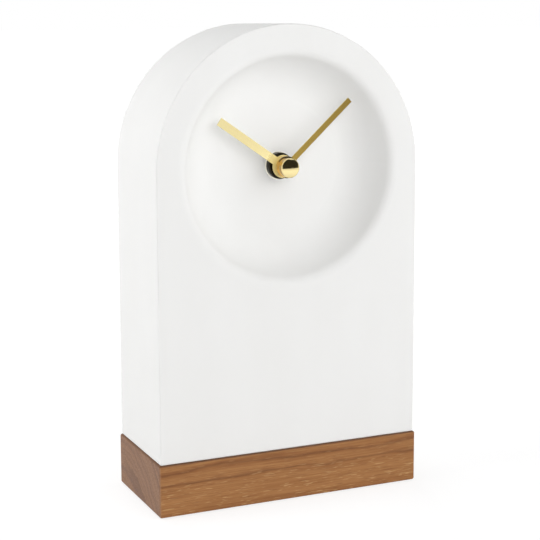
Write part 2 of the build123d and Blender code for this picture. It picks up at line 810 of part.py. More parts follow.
# Stator around the rotor's magnet, and the coil on a core that bridges its legs
left_leg_x = rotor_x - leg_spacing / 2
right_leg_x = rotor_x + leg_spacing / 2
stator_bottom_z = rotor_z - stator_height / 2
core_top_z = coil_z + core_height / 2
coil_left_x = left_leg_x + leg_width / 2
coil_right_x = right_leg_x - leg_width / 2

with BuildPart() as stator:
    with BuildSketch(dial_plane(stator_back_y)):
        add(
            block_face(
                left_leg_x - leg_width / 2,
                right_leg_x + leg_width / 2,
                stator_bottom_z,
                stator_bottom_z + stator_height,
            )
        )
        for leg_x in (left_leg_x, right_leg_x):
            add(
                block_face(
                    leg_x - leg_width / 2, leg_x + leg_width / 2, stator_bottom_z, core_top_z
                )
            )
        with Locations((rotor_x, rotor_z)):
            Circle(magnet_radius + air_gap, mode=Mode.SUBTRACT)
    extrude(amount=stator_thickness)
pieces["stator"] = stator

with BuildPart() as coil_core:
    with BuildSketch(dial_plane(stator_back_y + core_thickness)):
        add(
            block_face(
                left_leg_x - leg_width / 2,
                right_leg_x + leg_width / 2,
                coil_z - core_height / 2,
                core_top_z,
            )
        )
    extrude(amount=core_thickness)
pieces["coil_core"] = coil_core

coil_length = coil_right_x - coil_left_x
coil_plane = Plane(
    origin=(coil_left_x, core_middle_y, dial_z + coil_z), x_dir=(0, 1, 0), z_dir=(1, 0, 0)
)
bobbin_thickness = core_thickness + 2 * bobbin_wall
bobbin_height = core_height + 2 * bobbin_wall
flange_shift = coil_length - bobbin_flange

with BuildPart() as coil_bobbin:
    with BuildSketch(coil_plane):
        Rectangle(bobbin_thickness, bobbin_height)
    extrude(amount=coil_length)
    for shift in (0, flange_shift):
        with BuildSketch(coil_plane.offset(shift)):
            Rectangle(coil_thickness, coil_height)
        extrude(amount=bobbin_flange)
    with BuildSketch(coil_plane.offset(-overrun)):
        Rectangle(core_thickness, core_height)
    extrude(amount=coil_length + 2 * overrun, mode=Mode.SUBTRACT)
pieces["coil_bobbin"] = coil_bobbin

with BuildPart() as coil_winding:
    with BuildSketch(coil_plane.offset(bobbin_flange)):
        Rectangle(coil_thickness - 2 * winding_inset, coil_height - 2 * winding_inset)
        Rectangle(bobbin_thickness, bobbin_height, mode=Mode.SUBTRACT)
    extrude(amount=coil_length - 2 * bobbin_flange)
pieces["coil_winding"] = coil_winding

# Circuit board with the quartz crystal and the chip
with BuildPart() as circuit_board:
    with BuildSketch(dial_plane(board_back_y)):
        add(block_face(board_left_x, board_right_x, board_bottom_z, board_top_z))
    extrude(amount=board_thickness)
pieces["circuit_board"] = circuit_board

crystal_x = board_left_x + board_width * crystal_place_share
board_middle_z = (board_bottom_z + board_top_z) / 2
crystal_plane = Plane(
    origin=(
        crystal_x - crystal_length / 2,
        board_back_y + crystal_radius,
        dial_z + board_middle_z,
    ),
    z_dir=(1, 0, 0),
)

with BuildPart() as quartz_crystal:
    with BuildSketch(crystal_plane):
        Circle(crystal_radius)
    extrude(amount=crystal_length)
pieces["quartz_crystal"] = quartz_crystal

chip_x = board_left_x + board_width * chip_place_share

with BuildPart() as clock_chip:
    with BuildSketch(dial_plane(board_back_y + chip_height, chip_x, board_middle_z)):
        Circle(chip_radius)
    extrude(amount=chip_height)
    fillet(clock_chip.edges().group_by(Axis.Y)[-1], chip_edge_radius)
pieces["clock_chip"] = clock_chip

# Spring contacts at the two ends of the battery, each with a strip that runs up to the board
strip_back_y = board_back_y + strip_width
contact_outer_x = room_half_width - contact_gap
contact_inner_x = contact_outer_x - contact_thickness
contact_back_y = battery_y + contact_width / 2
battery_end_x = battery_length / 2
dimple_length = contact_inner_x - battery_end_x - contact_gap

with BuildPart() as positive_contact:
    with BuildSketch(dial_plane(contact_back_y, 0, battery_z)):
        add(
            block_face(-contact_outer_x, -contact_inner_x, -contact_height / 2, contact_height / 2)
        )
    extrude(amount=contact_width)
    with BuildSketch(dial_plane(strip_back_y)):
        add(
            block_face(
                -contact_outer_x, -contact_inner_x, battery_z, board_middle_z + tab_height / 2
            )
        )
    extrude(amount=strip_width)
    with BuildSketch(dial_plane(board_back_y + contact_thickness)):
        add(
            block_face(
                -contact_outer_x,
                board_left_x + tab_reach,
                board_middle_z - tab_height / 2,
                board_middle_z + tab_height / 2,
            )
        )
    extrude(amount=contact_thickness)
    with BuildSketch(
        Plane(origin=(-contact_inner_x, battery_y, dial_z + battery_z), z_dir=(1, 0, 0))
    ):
        Circle(dimple_radius)
    extrude(amount=dimple_length)
pieces["positive_contact"] = positive_contact

strip_left_x = board_left_x + strip_inset

with BuildPart() as negative_contact:
    with BuildSketch(dial_plane(contact_back_y, 0, battery_z)):
        add(block_face(contact_inner_x, contact_outer_x, -contact_height / 2, contact_height / 2))
    extrude(amount=contact_width)
    with BuildSketch(dial_plane(strip_back_y)):
        add(
            block_face(
                contact_inner_x, contact_outer_x, battery_z, room_bottom_z + contact_thickness
            )
        )
        add(
            block_face(
                strip_left_x, contact_outer_x, room_bottom_z, room_bottom_z + contact_thickness
            )
        )
        add(
            block_face(
                strip_left_x,
                strip_left_x + contact_thickness,
                room_bottom_z,
                board_bottom_z + strip_end,
            )
        )
    extrude(amount=strip_width)
    with BuildSketch(
        Plane(origin=(contact_inner_x, battery_y, dial_z + battery_z), z_dir=(-1, 0, 0))
    ):
        Circle(dimple_radius)
    extrude(amount=dimple_length)
pieces["negative_contact"] = negative_contact

# Battery cell in its printed sleeve
can_radius = battery_radius - sleeve_thickness
can_length = battery_length - nub_length
can_plane = Plane(origin=(battery_end_x, battery_y, dial_z + battery_z), z_dir=(-1, 0, 0))

with BuildPart() as battery_cell:
    with BuildSketch(can_plane):
        Circle(can_radius)
    extrude(amount=can_length)
    fillet(battery_cell.edges().filter_by(GeomType.CIRCLE), can_edge_radius)
    with BuildSketch(can_plane.offset(can_length)):
        Circle(nub_radius)
    extrude(amount=nub_length)
pieces["battery_cell"] = battery_cell

with BuildPart() as battery_sleeve:
    with BuildSketch(can_plane.offset(sleeve_margin)):
        add(ring_face(battery_radius, can_radius + press_gap))
    extrude(amount=can_length - 2 * sleeve_margin)
pieces["battery_sleeve"] = battery_sleeve

# Housing of the movement, with a room for the train, a bay for the battery and the board's posts
housing_middle_z = (housing_bottom_z + housing_top_z) / 2
housing_height = housing_top_z - housing_bottom_z
post_z = board_top_z - post_inset
post_places = [(board_left_x + post_inset, post_z), (board_right_x - post_inset, post_z)]
pin_places = list(wall_pins.values())

with BuildPart() as movement_housing:
    with BuildSketch(dial_plane(movement_back_y)):
        with Locations((0, housing_middle_z)):
            RectangleRounded(2 * housing_half_width, housing_height, housing_corner_radius)
    extrude(amount=movement_back_y - movement_front_y)
    with BuildSketch(dial_plane(movement_back_y + overrun)):
        add(
            block_face(
                -housing_half_width - overrun,
                housing_half_width + overrun,
                bay_top_z,
                housing_top_z + overrun,
            )
        )
    extrude(amount=overrun + cover_thickness, mode=Mode.SUBTRACT)
    with BuildSketch(dial_plane(movement_back_y + overrun)):
        add(block_face(-room_half_width, room_half_width, room_bottom_z, room_top_z))
        add(block_face(-room_half_width, room_half_width, bay_bottom_z, bay_top_z))
    extrude(amount=overrun + movement_back_y - housing_inner_y, mode=Mode.SUBTRACT)
    with BuildSketch(dial_plane(movement_back_y)):
        add(
            block_face(
                -room_half_width,
                notch_depth - room_half_width,
                bay_top_z - overrun,
                room_bottom_z + overrun,
            )
        )
        add(
            block_face(
                room_half_width - notch_depth,
                room_half_width,
                bay_top_z - overrun,
                room_bottom_z + overrun,
            )
        )
    extrude(amount=movement_back_y - board_back_y + contact_gap, mode=Mode.SUBTRACT)
    with BuildSketch(dial_plane(housing_inner_y + overrun)):
        Circle(flange_radius + press_gap)
    extrude(amount=overrun + flange_thickness, mode=Mode.SUBTRACT)
    with BuildSketch(dial_plane(housing_inner_y + overrun)):
        Circle(bush_radius + press_gap)
        with Locations((motion_x, motion_z)):
            Circle(motion_pivot_radius + running_gap)
    extrude(amount=housing_wall + 2 * overrun, mode=Mode.SUBTRACT)
    with BuildSketch(dial_plane(housing_inner_y + overrun)):
        with Locations(*pin_places):
            Circle(pin_radius + press_gap)
    extrude(amount=overrun + pin_seat, mode=Mode.SUBTRACT)
    with BuildSketch(dial_plane(stator_back_y)):
        with Locations(*post_places):
            Circle(post_radius)
    extrude(amount=stator_back_y - housing_inner_y)
pieces["movement_housing"] = movement_housing

# Cover of the movement, over the train but not over the battery
with BuildPart() as movement_cover:
    with BuildSketch(dial_plane(movement_back_y)):
        with Locations((0, housing_middle_z)):
            RectangleRounded(2 * housing_half_width, housing_height, housing_corner_radius)
        add(
            block_face(
                -housing_half_width - overrun,
                housing_half_width + overrun,
                housing_bottom_z - overrun,
                bay_top_z,
            ),
            mode=Mode.SUBTRACT,
        )
    extrude(amount=cover_thickness)
    fillet(movement_cover.faces().sort_by(Axis.Y)[-1].edges(), cover_edge_radius)
    with BuildSketch(dial_plane(movement_back_y + ring_height, motion_x, motion_z)):
        add(ring_face(knob_radius + ring_gap + ring_width, knob_radius + ring_gap))
    extrude(amount=ring_height)
    with BuildSketch(dial_plane(movement_back_y + overrun, motion_x, motion_z)):
        Circle(motion_arbor_radius + running_gap)
    extrude(amount=cover_thickness + 2 * overrun, mode=Mode.SUBTRACT)
    with BuildSketch(dial_plane(pin_back_y)):
        Circle(pin_radius + press_gap)
        with Locations(*pin_places):
            Circle(pin_radius + press_gap)
    extrude(amount=pin_seat + overrun, mode=Mode.SUBTRACT)
pieces["movement_cover"] = movement_cover

for name, piece in pieces.items():
    piece.part.label = name
    export_step(piece.part, f"parts/{name}.step")
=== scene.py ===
# %% [markdown]
# # An arched desk clock, dressed in Blender
# The clock is a matt white arched case on a wooden plinth, with two plain brass hands in a round dish
# and a quartz movement in a pocket at the back. Its solids arrive as a fixed frame, so this lesson adds
# what solids leave out: the finishes, the small moulded details at the back, the studio and the camera.
# Everything stands in metres, in the frame's own place, so nothing has to be fitted by eye. Patterns
# are given in millimetres, because grain and polish are that small.

# %% Load the frame
import bpy
import math
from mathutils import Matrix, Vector


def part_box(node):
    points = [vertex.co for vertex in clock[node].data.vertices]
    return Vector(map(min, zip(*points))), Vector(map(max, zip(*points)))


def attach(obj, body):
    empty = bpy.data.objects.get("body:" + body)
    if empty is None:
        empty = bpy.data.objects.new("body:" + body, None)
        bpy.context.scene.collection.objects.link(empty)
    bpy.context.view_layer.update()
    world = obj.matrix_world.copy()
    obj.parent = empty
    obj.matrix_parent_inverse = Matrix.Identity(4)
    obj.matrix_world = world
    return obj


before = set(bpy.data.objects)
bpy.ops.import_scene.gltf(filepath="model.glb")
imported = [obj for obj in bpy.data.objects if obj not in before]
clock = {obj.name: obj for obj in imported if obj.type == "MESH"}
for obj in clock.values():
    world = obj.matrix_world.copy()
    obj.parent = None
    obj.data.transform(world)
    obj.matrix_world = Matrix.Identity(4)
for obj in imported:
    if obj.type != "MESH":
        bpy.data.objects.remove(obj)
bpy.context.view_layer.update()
mm = 0.001

# %% [markdown]
# ## Camera
# The photograph was taken from the front, a little to the left and a little above, with a long lens. A
# camera can be aimed with a constraint or by hand. Here its place and its turn come from the outline of
# the clock, so they are written down as they were solved. The upright edges run almost parallel in the
# photograph, which a tilted camera cannot give by itself, so the lens is shifted down by a small share
# of the frame.

# %% Camera at the photograph's viewing angle
camera_place = (-0.2403, -0.53737, 0.20125)
camera_tilt, camera_roll, camera_turn = 8.589, 0.174, -24.244
lens_length, sensor_width, lens_shift = 92.24, 36, -0.074
nearest_seen = 0.01

bpy.ops.object.select_all(action="DESELECT")
bpy.ops.object.camera_add(
    location=camera_place,
    rotation=(math.radians(90 - camera_tilt), math.radians(camera_roll), math.radians(camera_turn)),
)
camera = bpy.context.object
camera.name = "clock_camera"
camera.data.sensor_width = sensor_width
camera.data.lens = lens_length
camera.data.shift_y = lens_shift
camera.data.clip_start = nearest_seen
bpy.context.scene.camera = camera
print("camera at", [round(value, 4) for value in camera.location], "lens", round(camera.data.lens, 2))

# %% [markdown]
# ## Building a finish
# A finish is a small graph of nodes. Writing every node by hand makes long cells, so a few helpers come
# first. Those for nodes make a finish, add a node with its links, feed the shader and dress the frame's
# solids. Those for patterns give what comes back in every finish: the object's own coordinates in
# millimetres, clouds of noise, a ramp of shades and a shallow relief. Most of a noise lies in the
# middle of its range, so many patterns are spread over that middle alone.

# %% Helpers for nodes
def sockets_of(finish):
    """The sockets of a finish's shader."""
    return finish.node_tree.nodes["Principled BSDF"].inputs


def new_finish(name, values):
    """A material whose constant values sit on the shader's own sockets."""
    finish = bpy.data.materials.new(name)
    finish.use_nodes = True
    for socket, value in values.items():
        sockets_of(finish)[socket].default_value = value
    return finish


def add_node(finish, kind, values, **settings):
    """One node, with its settings and with a value or a link on each socket that is named."""
    node = finish.node_tree.nodes.new("ShaderNode" + kind)
    for name, value in settings.items():
        setattr(node, name, value)
    for socket, value in values.items():
        if isinstance(value, bpy.types.NodeSocket):
            finish.node_tree.links.new(value, node.inputs[socket])
        else:
            node.inputs[socket].default_value = value
    return node


def feed(finish, values):
    """Links patterns to the sockets of a finish's shader."""
    for socket, value in values.items():
        finish.node_tree.links.new(value, sockets_of(finish)[socket])


def dress(finish, *names):
    """Gives a finish to nodes of the frame."""
    for name in names:
        clock[name].data.materials.clear()
        clock[name].data.materials.append(finish)
    print(finish.name, "on", ", ".join(names))


print("helpers ready: sockets_of, new_finish, add_node, feed, dress")

# %% Helpers for places and noise
def place(finish, stretch=(1, 1, 1), turn=(0, 0, 0), shift=(0, 0, 0)):
    """The object's own coordinates in millimetres, stretched, turned and then moved."""
    own = add_node(finish, "TexCoord", {}).outputs["Object"]
    values = {"Vector": own, "Scale": [share / mm for share in stretch], "Rotation": turn, "Location": shift}
    return add_node(finish, "Mapping", values).outputs["Vector"]


def noise(finish, vector, detail=2.0, roughness=0.5):
    """Noise between 0 and 1 with about one cycle for each unit of a vector."""
    values = {"Vector": vector, "Scale": 1.0, "Detail": detail, "Roughness": roughness}
    return add_node(finish, "TexNoise", values).outputs["Fac"]


def clouds(finish, cycles, detail=2.0, roughness=0.5, shift=(0, 0, 0)):
    """Noise with so many cycles for each millimetre along X, Y and Z."""
    return noise(finish, place(finish, cycles, shift=shift), detail, roughness)


print("helpers ready: place, noise, clouds")

# %% Helpers for levels, shades and relief
most_of_noise = (0.3, 0.7)


def levels(finish, value, low, high, out_low=0.0, out_high=1.0):
    """A value spread from one range to another, eased at both ends."""
    values = {"Value": value, "From Min": low, "From Max": high, "To Min": out_low, "To Max": out_high}
    return add_node(finish, "MapRange", values, interpolation_type="SMOOTHSTEP").outputs["Result"]


def spread(finish, pattern, out_low, out_high):
    """A noise spread from one value to another over the middle of its range."""
    return levels(finish, pattern, *most_of_noise, out_low, out_high)


def shades(finish, value, stops):
    """A ramp of colours along a value."""
    node = add_node(finish, "ValToRGB", {"Fac": value})
    ramp = node.color_ramp
    while len(ramp.elements) < len(stops):
        ramp.elements.new(0.5)
    for element, (position, colour) in zip(ramp.elements, stops):
        element.position = position
        element.color = (*colour, 1.0)
    return node.outputs["Color"]


def two_shades(finish, pattern, first, second):
    """A noise that runs from one colour to another over the middle of its range."""
    return shades(finish, pattern, list(zip(most_of_noise, (first, second))))


def relief(finish, height, depth):
    """A shallow relief whose full height is a depth in millimetres."""
    values = {"Height": height, "Distance": depth * mm, "Strength": 1.0}
    return add_node(finish, "Bump", values).outputs["Normal"]


print("helpers ready: levels, spread, shades, two_shades, relief")

# %% [markdown]
# ## White lacquer of the case
# The case is fibreboard under several sprayed coats of matt white. A flat white would do from far away,
# but sprayed paint shows three things up close: a fine peel in the surface, clouds where one pass of
# the gun overlaps the next, and a sheen that changes with the thickness of the film. One noise gives
# the peel, and a wide one gives the clouds and the sheen together.

# %% White lacquer
thin_coat, thick_coat = (0.855, 0.853, 0.84), (0.88, 0.88, 0.87)
peel_depth = 0.004
white_lacquer = new_finish("white_lacquer", {"Specular IOR Level": 0.3})
spray = clouds(white_lacquer, cycles=(0.03, 0.03, 0.0105), detail=3.0)
peel = clouds(white_lacquer, cycles=(0.9, 0.9, 0.9))
feed(white_lacquer, {
    "Base Color": two_shades(white_lacquer, spray, thin_coat, thick_coat),
    "Roughness": spread(white_lacquer, spray, out_low=0.52, out_high=0.62),
    "Normal": relief(white_lacquer, peel, peel_depth),
})
dress(white_lacquer, "arch_case")

# %% [markdown]
# ## Wood of the plinth
# The plinth is one block of brown hardwood, so the same growth rings have to show as long streaks on
# the front and as curved bands on the end. A flat picture could not do that. Here the rings are
# cylinders round the heart of the tree, which lies below the plinth and near its back, and every face
# cuts through the same cylinders. The heart rises a little along the block, and two noises bend the
# rings, one wide and one fine. A helper for each kind of sum keeps the cells short. The Mix node has
# its sockets for colours after those for numbers, so their places are written down first.

# %% Helpers for sums
mix_share, mix_first, mix_second, mix_result = 0, 6, 7, 2


def work(finish, operation, first, second=0.0):
    """One sum on two values."""
    return add_node(finish, "Math", {0: first, 1: second}, operation=operation).outputs["Value"]


def length_of(finish, vector):
    """The length of a vector."""
    return add_node(finish, "VectorMath", {0: vector}, operation="LENGTH").outputs["Value"]


def axes(finish, vector):
    """The X, Y and Z of a vector."""
    return add_node(finish, "SeparateXYZ", {"Vector": vector}).outputs


def mixed(finish, share, first, second):
    """Two colours mixed by a share, each of them a pattern or a constant red, green and blue."""
    sides = [side if isinstance(side, bpy.types.NodeSocket) else (*side, 1) for side in (first, second)]
    values = {mix_share: share, mix_first: sides[0], mix_second: sides[1]}
    return add_node(finish, "Mix", values, data_type="RGBA").outputs[mix_result]


print("helpers ready: work, length_of, axes, mixed")

# %% Growth rings
heart_y, heart_z, heart_slope = 23.6, -34.0, 0.014
wander_reach, ripple_reach = 1.5, 0.7
first_ring, ring_span = 30.0, 50.0
plinth_wood = new_finish("plinth_wood", {"Specular IOR Level": 0.35})
wood_axes = axes(plinth_wood, place(plinth_wood))
ring = length_of(plinth_wood, place(plinth_wood, stretch=(0, 1, 1), shift=(0, -heart_y, -heart_z)))
wander = clouds(plinth_wood, cycles=(0.012, 0.05, 0.05))
ripple = clouds(plinth_wood, cycles=(0.05, 0.25, 0.25))
for waves, reach in ((wander, wander_reach), (ripple, ripple_reach)):
    moved = levels(plinth_wood, waves, low=0.2, high=0.8, out_low=-reach, out_high=reach)
    ring = work(plinth_wood, "ADD", ring, moved)
ring = work(plinth_wood, "SUBTRACT", ring, work(plinth_wood, "MULTIPLY", wood_axes["X"], heart_slope))
growth = work(plinth_wood, "DIVIDE", work(plinth_wood, "SUBTRACT", ring, first_ring), ring_span)
print("rings from", first_ring, "to", first_ring + ring_span, "mm round the heart")

# %% Shades of the rings
tan, brown, dark = (0.383, 0.173, 0.056), (0.298, 0.122, 0.036), (0.168, 0.06, 0.018)
ring_stops = [
    (0.0, tan), (0.07, brown), (0.11, tan), (0.2, tan), (0.235, brown), (0.262, dark), (0.285, tan),
    (0.38, tan), (0.42, brown), (0.435, tan), (0.52, brown), (0.54, tan), (0.575, brown), (0.605, brown),
    (0.64, tan), (0.74, tan), (0.757, brown), (0.767, tan), (0.778, brown), (0.79, dark), (0.803, tan),
    (0.83, tan), (0.848, brown), (0.86, dark), (0.874, brown), (0.888, tan), (0.93, brown), (0.95, tan),
    (1.0, brown),
]
wood_shade = shades(plinth_wood, growth, ring_stops)
print("ring stops:", len(ring_stops))

# %% [markdown]
# ## Fibres, flecks and pores
# Between the rings run fibres and paler streaks, drawn as noise that is pulled long along the block.
# Open pores are short dark lines. Some have caught light filler and show as pale flecks, most of them
# low on the block. A picture of wood would bring all of these at once. Here each is laid over the rings
# by its own share, so each can be changed alone.

# %% Fibres, flecks and pores
streak_pale, fibre_brown = (0.435, 0.21, 0.074), (0.24, 0.09, 0.03)
fleck_pale, pore_dark = (0.58, 0.355, 0.15), (0.15, 0.055, 0.02)
streak = clouds(plinth_wood, cycles=(0.012, 0.8, 0.8), shift=(3, 1, 8))
fibre = clouds(plinth_wood, cycles=(0.03, 2.2, 2.2), detail=3.0, roughness=0.6)
fleck = clouds(plinth_wood, cycles=(0.2, 2.4, 2.4), detail=1.0)
pore = clouds(plinth_wood, cycles=(0.14, 3.6, 3.6), detail=1.0, shift=(7, 3, 5))
low_down = levels(plinth_wood, wood_axes["Z"], low=18, high=9, out_low=0.3)
fleck_share = levels(plinth_wood, fleck, low=0.615, high=0.71, out_high=0.62)
laid_over = [
    (spread(plinth_wood, streak, out_low=0.0, out_high=0.3), streak_pale),
    (levels(plinth_wood, fibre, low=0.35, high=0.7, out_high=0.55), fibre_brown),
    (work(plinth_wood, "MULTIPLY", fleck_share, low_down), fleck_pale),
    (levels(plinth_wood, pore, low=0.62, high=0.72, out_high=0.5), pore_dark),
]
for share, colour in laid_over:
    wood_shade = mixed(plinth_wood, share, wood_shade, colour)
print("laid over the rings:", len(laid_over), "patterns")

# %% [markdown]
# ## End grain
# On the two ends the same fibres are cut across, drink more oil and turn greyer. The rings show there
# as thin dark lines, and one broad dark band near the heart fades towards the back. The ends could be a
# second material, but they are faces of one solid, so the way a face looks mixes in the second shade.

# %% End grain
grit_dark, grit_light, oil_dark = (0.128, 0.085, 0.068), (0.228, 0.155, 0.122), (0.075, 0.03, 0.022)


def facing(finish):
    """The X, Y and Z of the way that a face looks."""
    return axes(finish, add_node(finish, "NewGeometry", {}).outputs["Normal"])


looks = facing(plinth_wood)
end_share = levels(plinth_wood, work(plinth_wood, "ABSOLUTE", looks["X"]), low=0.5, high=0.9, out_high=0.55)
grit = clouds(plinth_wood, cycles=(0.1, 1.4, 1.4), detail=3.0, roughness=0.7)
end_shade = shades(plinth_wood, grit, [(0.35, grit_dark), (0.65, grit_light)])
wood_shade = mixed(plinth_wood, end_share, wood_shade, end_shade)
line_values = {"W": ring, "Scale": 0.5, "Detail": 3.0}
ring_lines = add_node(plinth_wood, "TexNoise", line_values, noise_dimensions="1D").outputs["Fac"]
line_share = levels(plinth_wood, ring_lines, low=0.45, high=0.65, out_high=0.4)
heart_band = levels(plinth_wood, growth, low=0.2, high=0.32, out_high=0.8)
heart_band = work(plinth_wood, "MULTIPLY", heart_band, levels(plinth_wood, growth, low=0.36, high=0.335))
fade_to_back = levels(plinth_wood, wood_axes["Y"], low=24, high=9, out_low=0.2)
heart_band = work(plinth_wood, "MULTIPLY", heart_band, fade_to_back)
dark_share = work(plinth_wood, "MULTIPLY", end_share, work(plinth_wood, "MAXIMUM", heart_band, line_share))
wood_shade = mixed(plinth_wood, dark_share, wood_shade, oil_dark)
print("end grain in", grit_dark, "to", grit_light)

# %% [markdown]
# ## Rubbed corners and painted shade in the joint
# The upright corners that hands touch are rubbed a little paler. The plinth's upper edge, in the joint
# under the case, is painted darker: painted shade for the shadow that falls there. Both could be painted
# on the mesh. Here the distance to two faces at once finds a corner, and a face that looks up is the edge.

# %% Rubbed corners and painted shade in the joint
rubbed_pale, joint_shade_colour = (0.45, 0.26, 0.16), (0.1, 0.045, 0.025)
rub_start, rub_full, rub_strength = 0.9, 0.1, 0.35
grain_depth = 0.03
plinth_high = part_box("plinth")[1]
rub = rub_strength
for axis, half in (("X", plinth_high.x / mm), ("Y", plinth_high.y / mm)):
    from_middle = work(plinth_wood, "ABSOLUTE", wood_axes[axis])
    near_face = levels(plinth_wood, from_middle, half - rub_start, half - rub_full)
    rub = work(plinth_wood, "MULTIPLY", near_face, rub)
wood_shade = mixed(plinth_wood, rub, wood_shade, rubbed_pale)
# painted shade: faces that look up, the plinth's top in the joint under the case, are darkened
joint_shade_share = levels(plinth_wood, looks["Z"], low=0.3, high=0.7, out_high=0.75)
wood_shade = mixed(plinth_wood, joint_shade_share, wood_shade, joint_shade_colour)
feed(plinth_wood, {
    "Base Color": wood_shade,
    "Roughness": spread(plinth_wood, fibre, out_low=0.5, out_high=0.68),
    "Normal": relief(plinth_wood, work(plinth_wood, "SUBTRACT", fibre, pore), grain_depth),
})
dress(plinth_wood, "plinth")

# %% [markdown]
# ## Metals
# The hands are stamped from polished brass sheet and lacquered, the arbors are turned brass, and the
# pins, contacts and screws are steel. Polished metal is all reflection, so its colour is set on the
# shader and the pattern only changes how sharp the reflection is: fine marks of polishing, which a
# stretched noise gives once it is turned to the direction of the rubbing. One helper makes every rubbed
# metal of the clock.

# %% A rubbed metal
mark_cycles, haze_cycles = (6.0, 1.0, 0.08), (0.12, 0.12, 0.12)


def vector_work(finish, operation, first, second=(0, 0, 0)):
    """One sum on two vectors."""
    return add_node(finish, "VectorMath", {0: first, 1: second}, operation=operation).outputs["Vector"]


def metal(name, colour, direction, smooth, dull, marks_depth=0.0006):
    """Rubbed metal whose marks run along a direction, given in degrees from the top of the dial."""
    finish = new_finish(name, {"Base Color": (*colour, 1), "Metallic": 1.0})
    turned = place(finish, turn=(0, math.radians(-direction), 0))
    marks = noise(finish, vector_work(finish, "MULTIPLY", turned, mark_cycles), detail=3.0)
    rubbed = work(finish, "MULTIPLY", marks, clouds(finish, haze_cycles))
    feed(finish, {
        "Roughness": levels(finish, rubbed, low=0.1, high=0.45, out_low=smooth, out_high=dull),
        "Normal": relief(finish, marks, marks_depth),
    })
    return finish


print("marks in cycles for each mm:", mark_cycles)

# %% Plain brass, steel and iron
upright, sideways = 0, 90
arbor_brass = metal("arbor_brass", colour=(0.82, 0.64, 0.27), direction=upright, smooth=0.2, dull=0.35)
pin_steel = metal("pin_steel", colour=(0.55, 0.56, 0.58), direction=upright, smooth=0.15, dull=0.3)
screw_steel = metal("screw_steel", colour=(0.62, 0.58, 0.42), direction=upright, smooth=0.25, dull=0.45)
spring_steel = metal("spring_steel", colour=(0.66, 0.65, 0.62), direction=sideways, smooth=0.16, dull=0.32)
core_steel = metal("core_steel", colour=(0.42, 0.42, 0.43), direction=sideways, smooth=0.3, dull=0.5)
crystal_can = metal("crystal_can", colour=(0.64, 0.65, 0.67), direction=sideways, smooth=0.18, dull=0.34)
battery_steel = metal("battery_steel", colour=(0.66, 0.66, 0.66), direction=sideways, smooth=0.14, dull=0.3)
magnet_iron = metal(
    "magnet_iron", colour=(0.1, 0.1, 0.105), direction=upright, smooth=0.45, dull=0.65, marks_depth=0.006,
)
dress(arbor_brass, "minute_arbor", "dial_bush", "centre_wheel")
dress(pin_steel, "third_pin", "intermediate_pin", "rotor_pin", "centre_pin")
dress(screw_steel, "plinth_screws")
dress(spring_steel, "clutch_spring", "positive_contact", "negative_contact")
dress(core_steel, "stator", "coil_core")
dress(crystal_can, "quartz_crystal")
dress(battery_steel, "battery_cell")
dress(magnet_iron, "rotor_magnet")

# %% [markdown]
# ## Brass of the hour hand
# The hour hand is a pale brass bar, polished along its length. Its hub is brushed instead, and its
# lacquer lies thicker there, so the hub is duller and warmer. Behind, a hand is only coated with pale
# lacquer, which sends light on to the dish. Three materials on sorted faces would make hard borders, so
# one finish changes with the distance from the dial's axis and with the way that a face looks.

# %% Brass of the hour hand
hour_reading = -55.6
hour_tone, hub_tone, back_lacquer = (0.815, 0.7, 0.357), (0.98, 0.82, 0.36), (0.92, 0.9, 0.82)
hub_to_bar = (6.2, 9.8)
hub_dull, hub_metallic = 0.4, 0.25
nut_low, nut_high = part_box("collar_nut")
dial_z = (nut_low.z + nut_high.z) / 2 / mm


def source_of(finish, socket):
    """What reaches a socket of the shader: a pattern, or else the constant on it."""
    entry = sockets_of(finish)[socket]
    return entry.links[0].from_socket if entry.links else entry.default_value


def lacquered_back(finish):
    """Gives the faces that look back, to +Y, the pale lacquer that hands have behind."""
    back = levels(finish, facing(finish)["Y"], low=0.3, high=0.7)
    bare = work(finish, "SUBTRACT", 1.0, back)
    feed(finish, {
        "Base Color": mixed(finish, back, source_of(finish, "Base Color"), back_lacquer),
        "Metallic": work(finish, "MULTIPLY", bare, source_of(finish, "Metallic")),
    })


hour_brass = metal("hour_brass", colour=hour_tone, direction=hour_reading, smooth=0.05, dull=0.12)
from_axis = length_of(hour_brass, place(hour_brass, stretch=(1, 0, 1), shift=(0, 0, -dial_z)))
brushed = levels(hour_brass, from_axis, *hub_to_bar, hub_dull, 0.0)
feed(hour_brass, {
    "Base Color": mixed(hour_brass, levels(hour_brass, from_axis, *hub_to_bar), hub_tone, hour_tone),
    "Metallic": levels(hour_brass, from_axis, *hub_to_bar, hub_metallic, 1.0),
    "Roughness": work(hour_brass, "MAXIMUM", source_of(hour_brass, "Roughness"), brushed),
})
lacquered_back(hour_brass)
dress(hour_brass, "hour_hand", "hour_boss")

# %% [markdown]
# ## Brass of the minute hand
# The minute hand's front is painted darker than the hour hand, a painted reflection of the dark
# surroundings that its polish shows, while its sides keep the brass tone. A second material on some faces
# would do it, but these are faces of one solid, so the way a face looks picks its colour: a face that
# looks forward gets the first tone and all others get the second.

# %% Brass of the minute hand
minute_reading = 47.5
# painted reflection: the front's dark tone stands in for the dark surroundings that its polish shows
minute_front_painted_dark, minute_sides = (0.36, 0.248, 0.062), (0.84, 0.7, 0.34)


def painted_reflection_tones(finish, front, sides):
    """Paints a reflection into a metal's colour by whether a face looks forward, to -Y, or not."""
    aside = levels(finish, facing(finish)["Y"], low=-0.75, high=-0.45)
    feed(finish, {"Base Color": mixed(finish, aside, front, sides)})


minute_brass = metal("minute_brass", colour=minute_front_painted_dark, direction=minute_reading, smooth=0.14, dull=0.24)
painted_reflection_tones(minute_brass, minute_front_painted_dark, minute_sides)
lacquered_back(minute_brass)
dress(minute_brass, "minute_hand", "minute_boss")
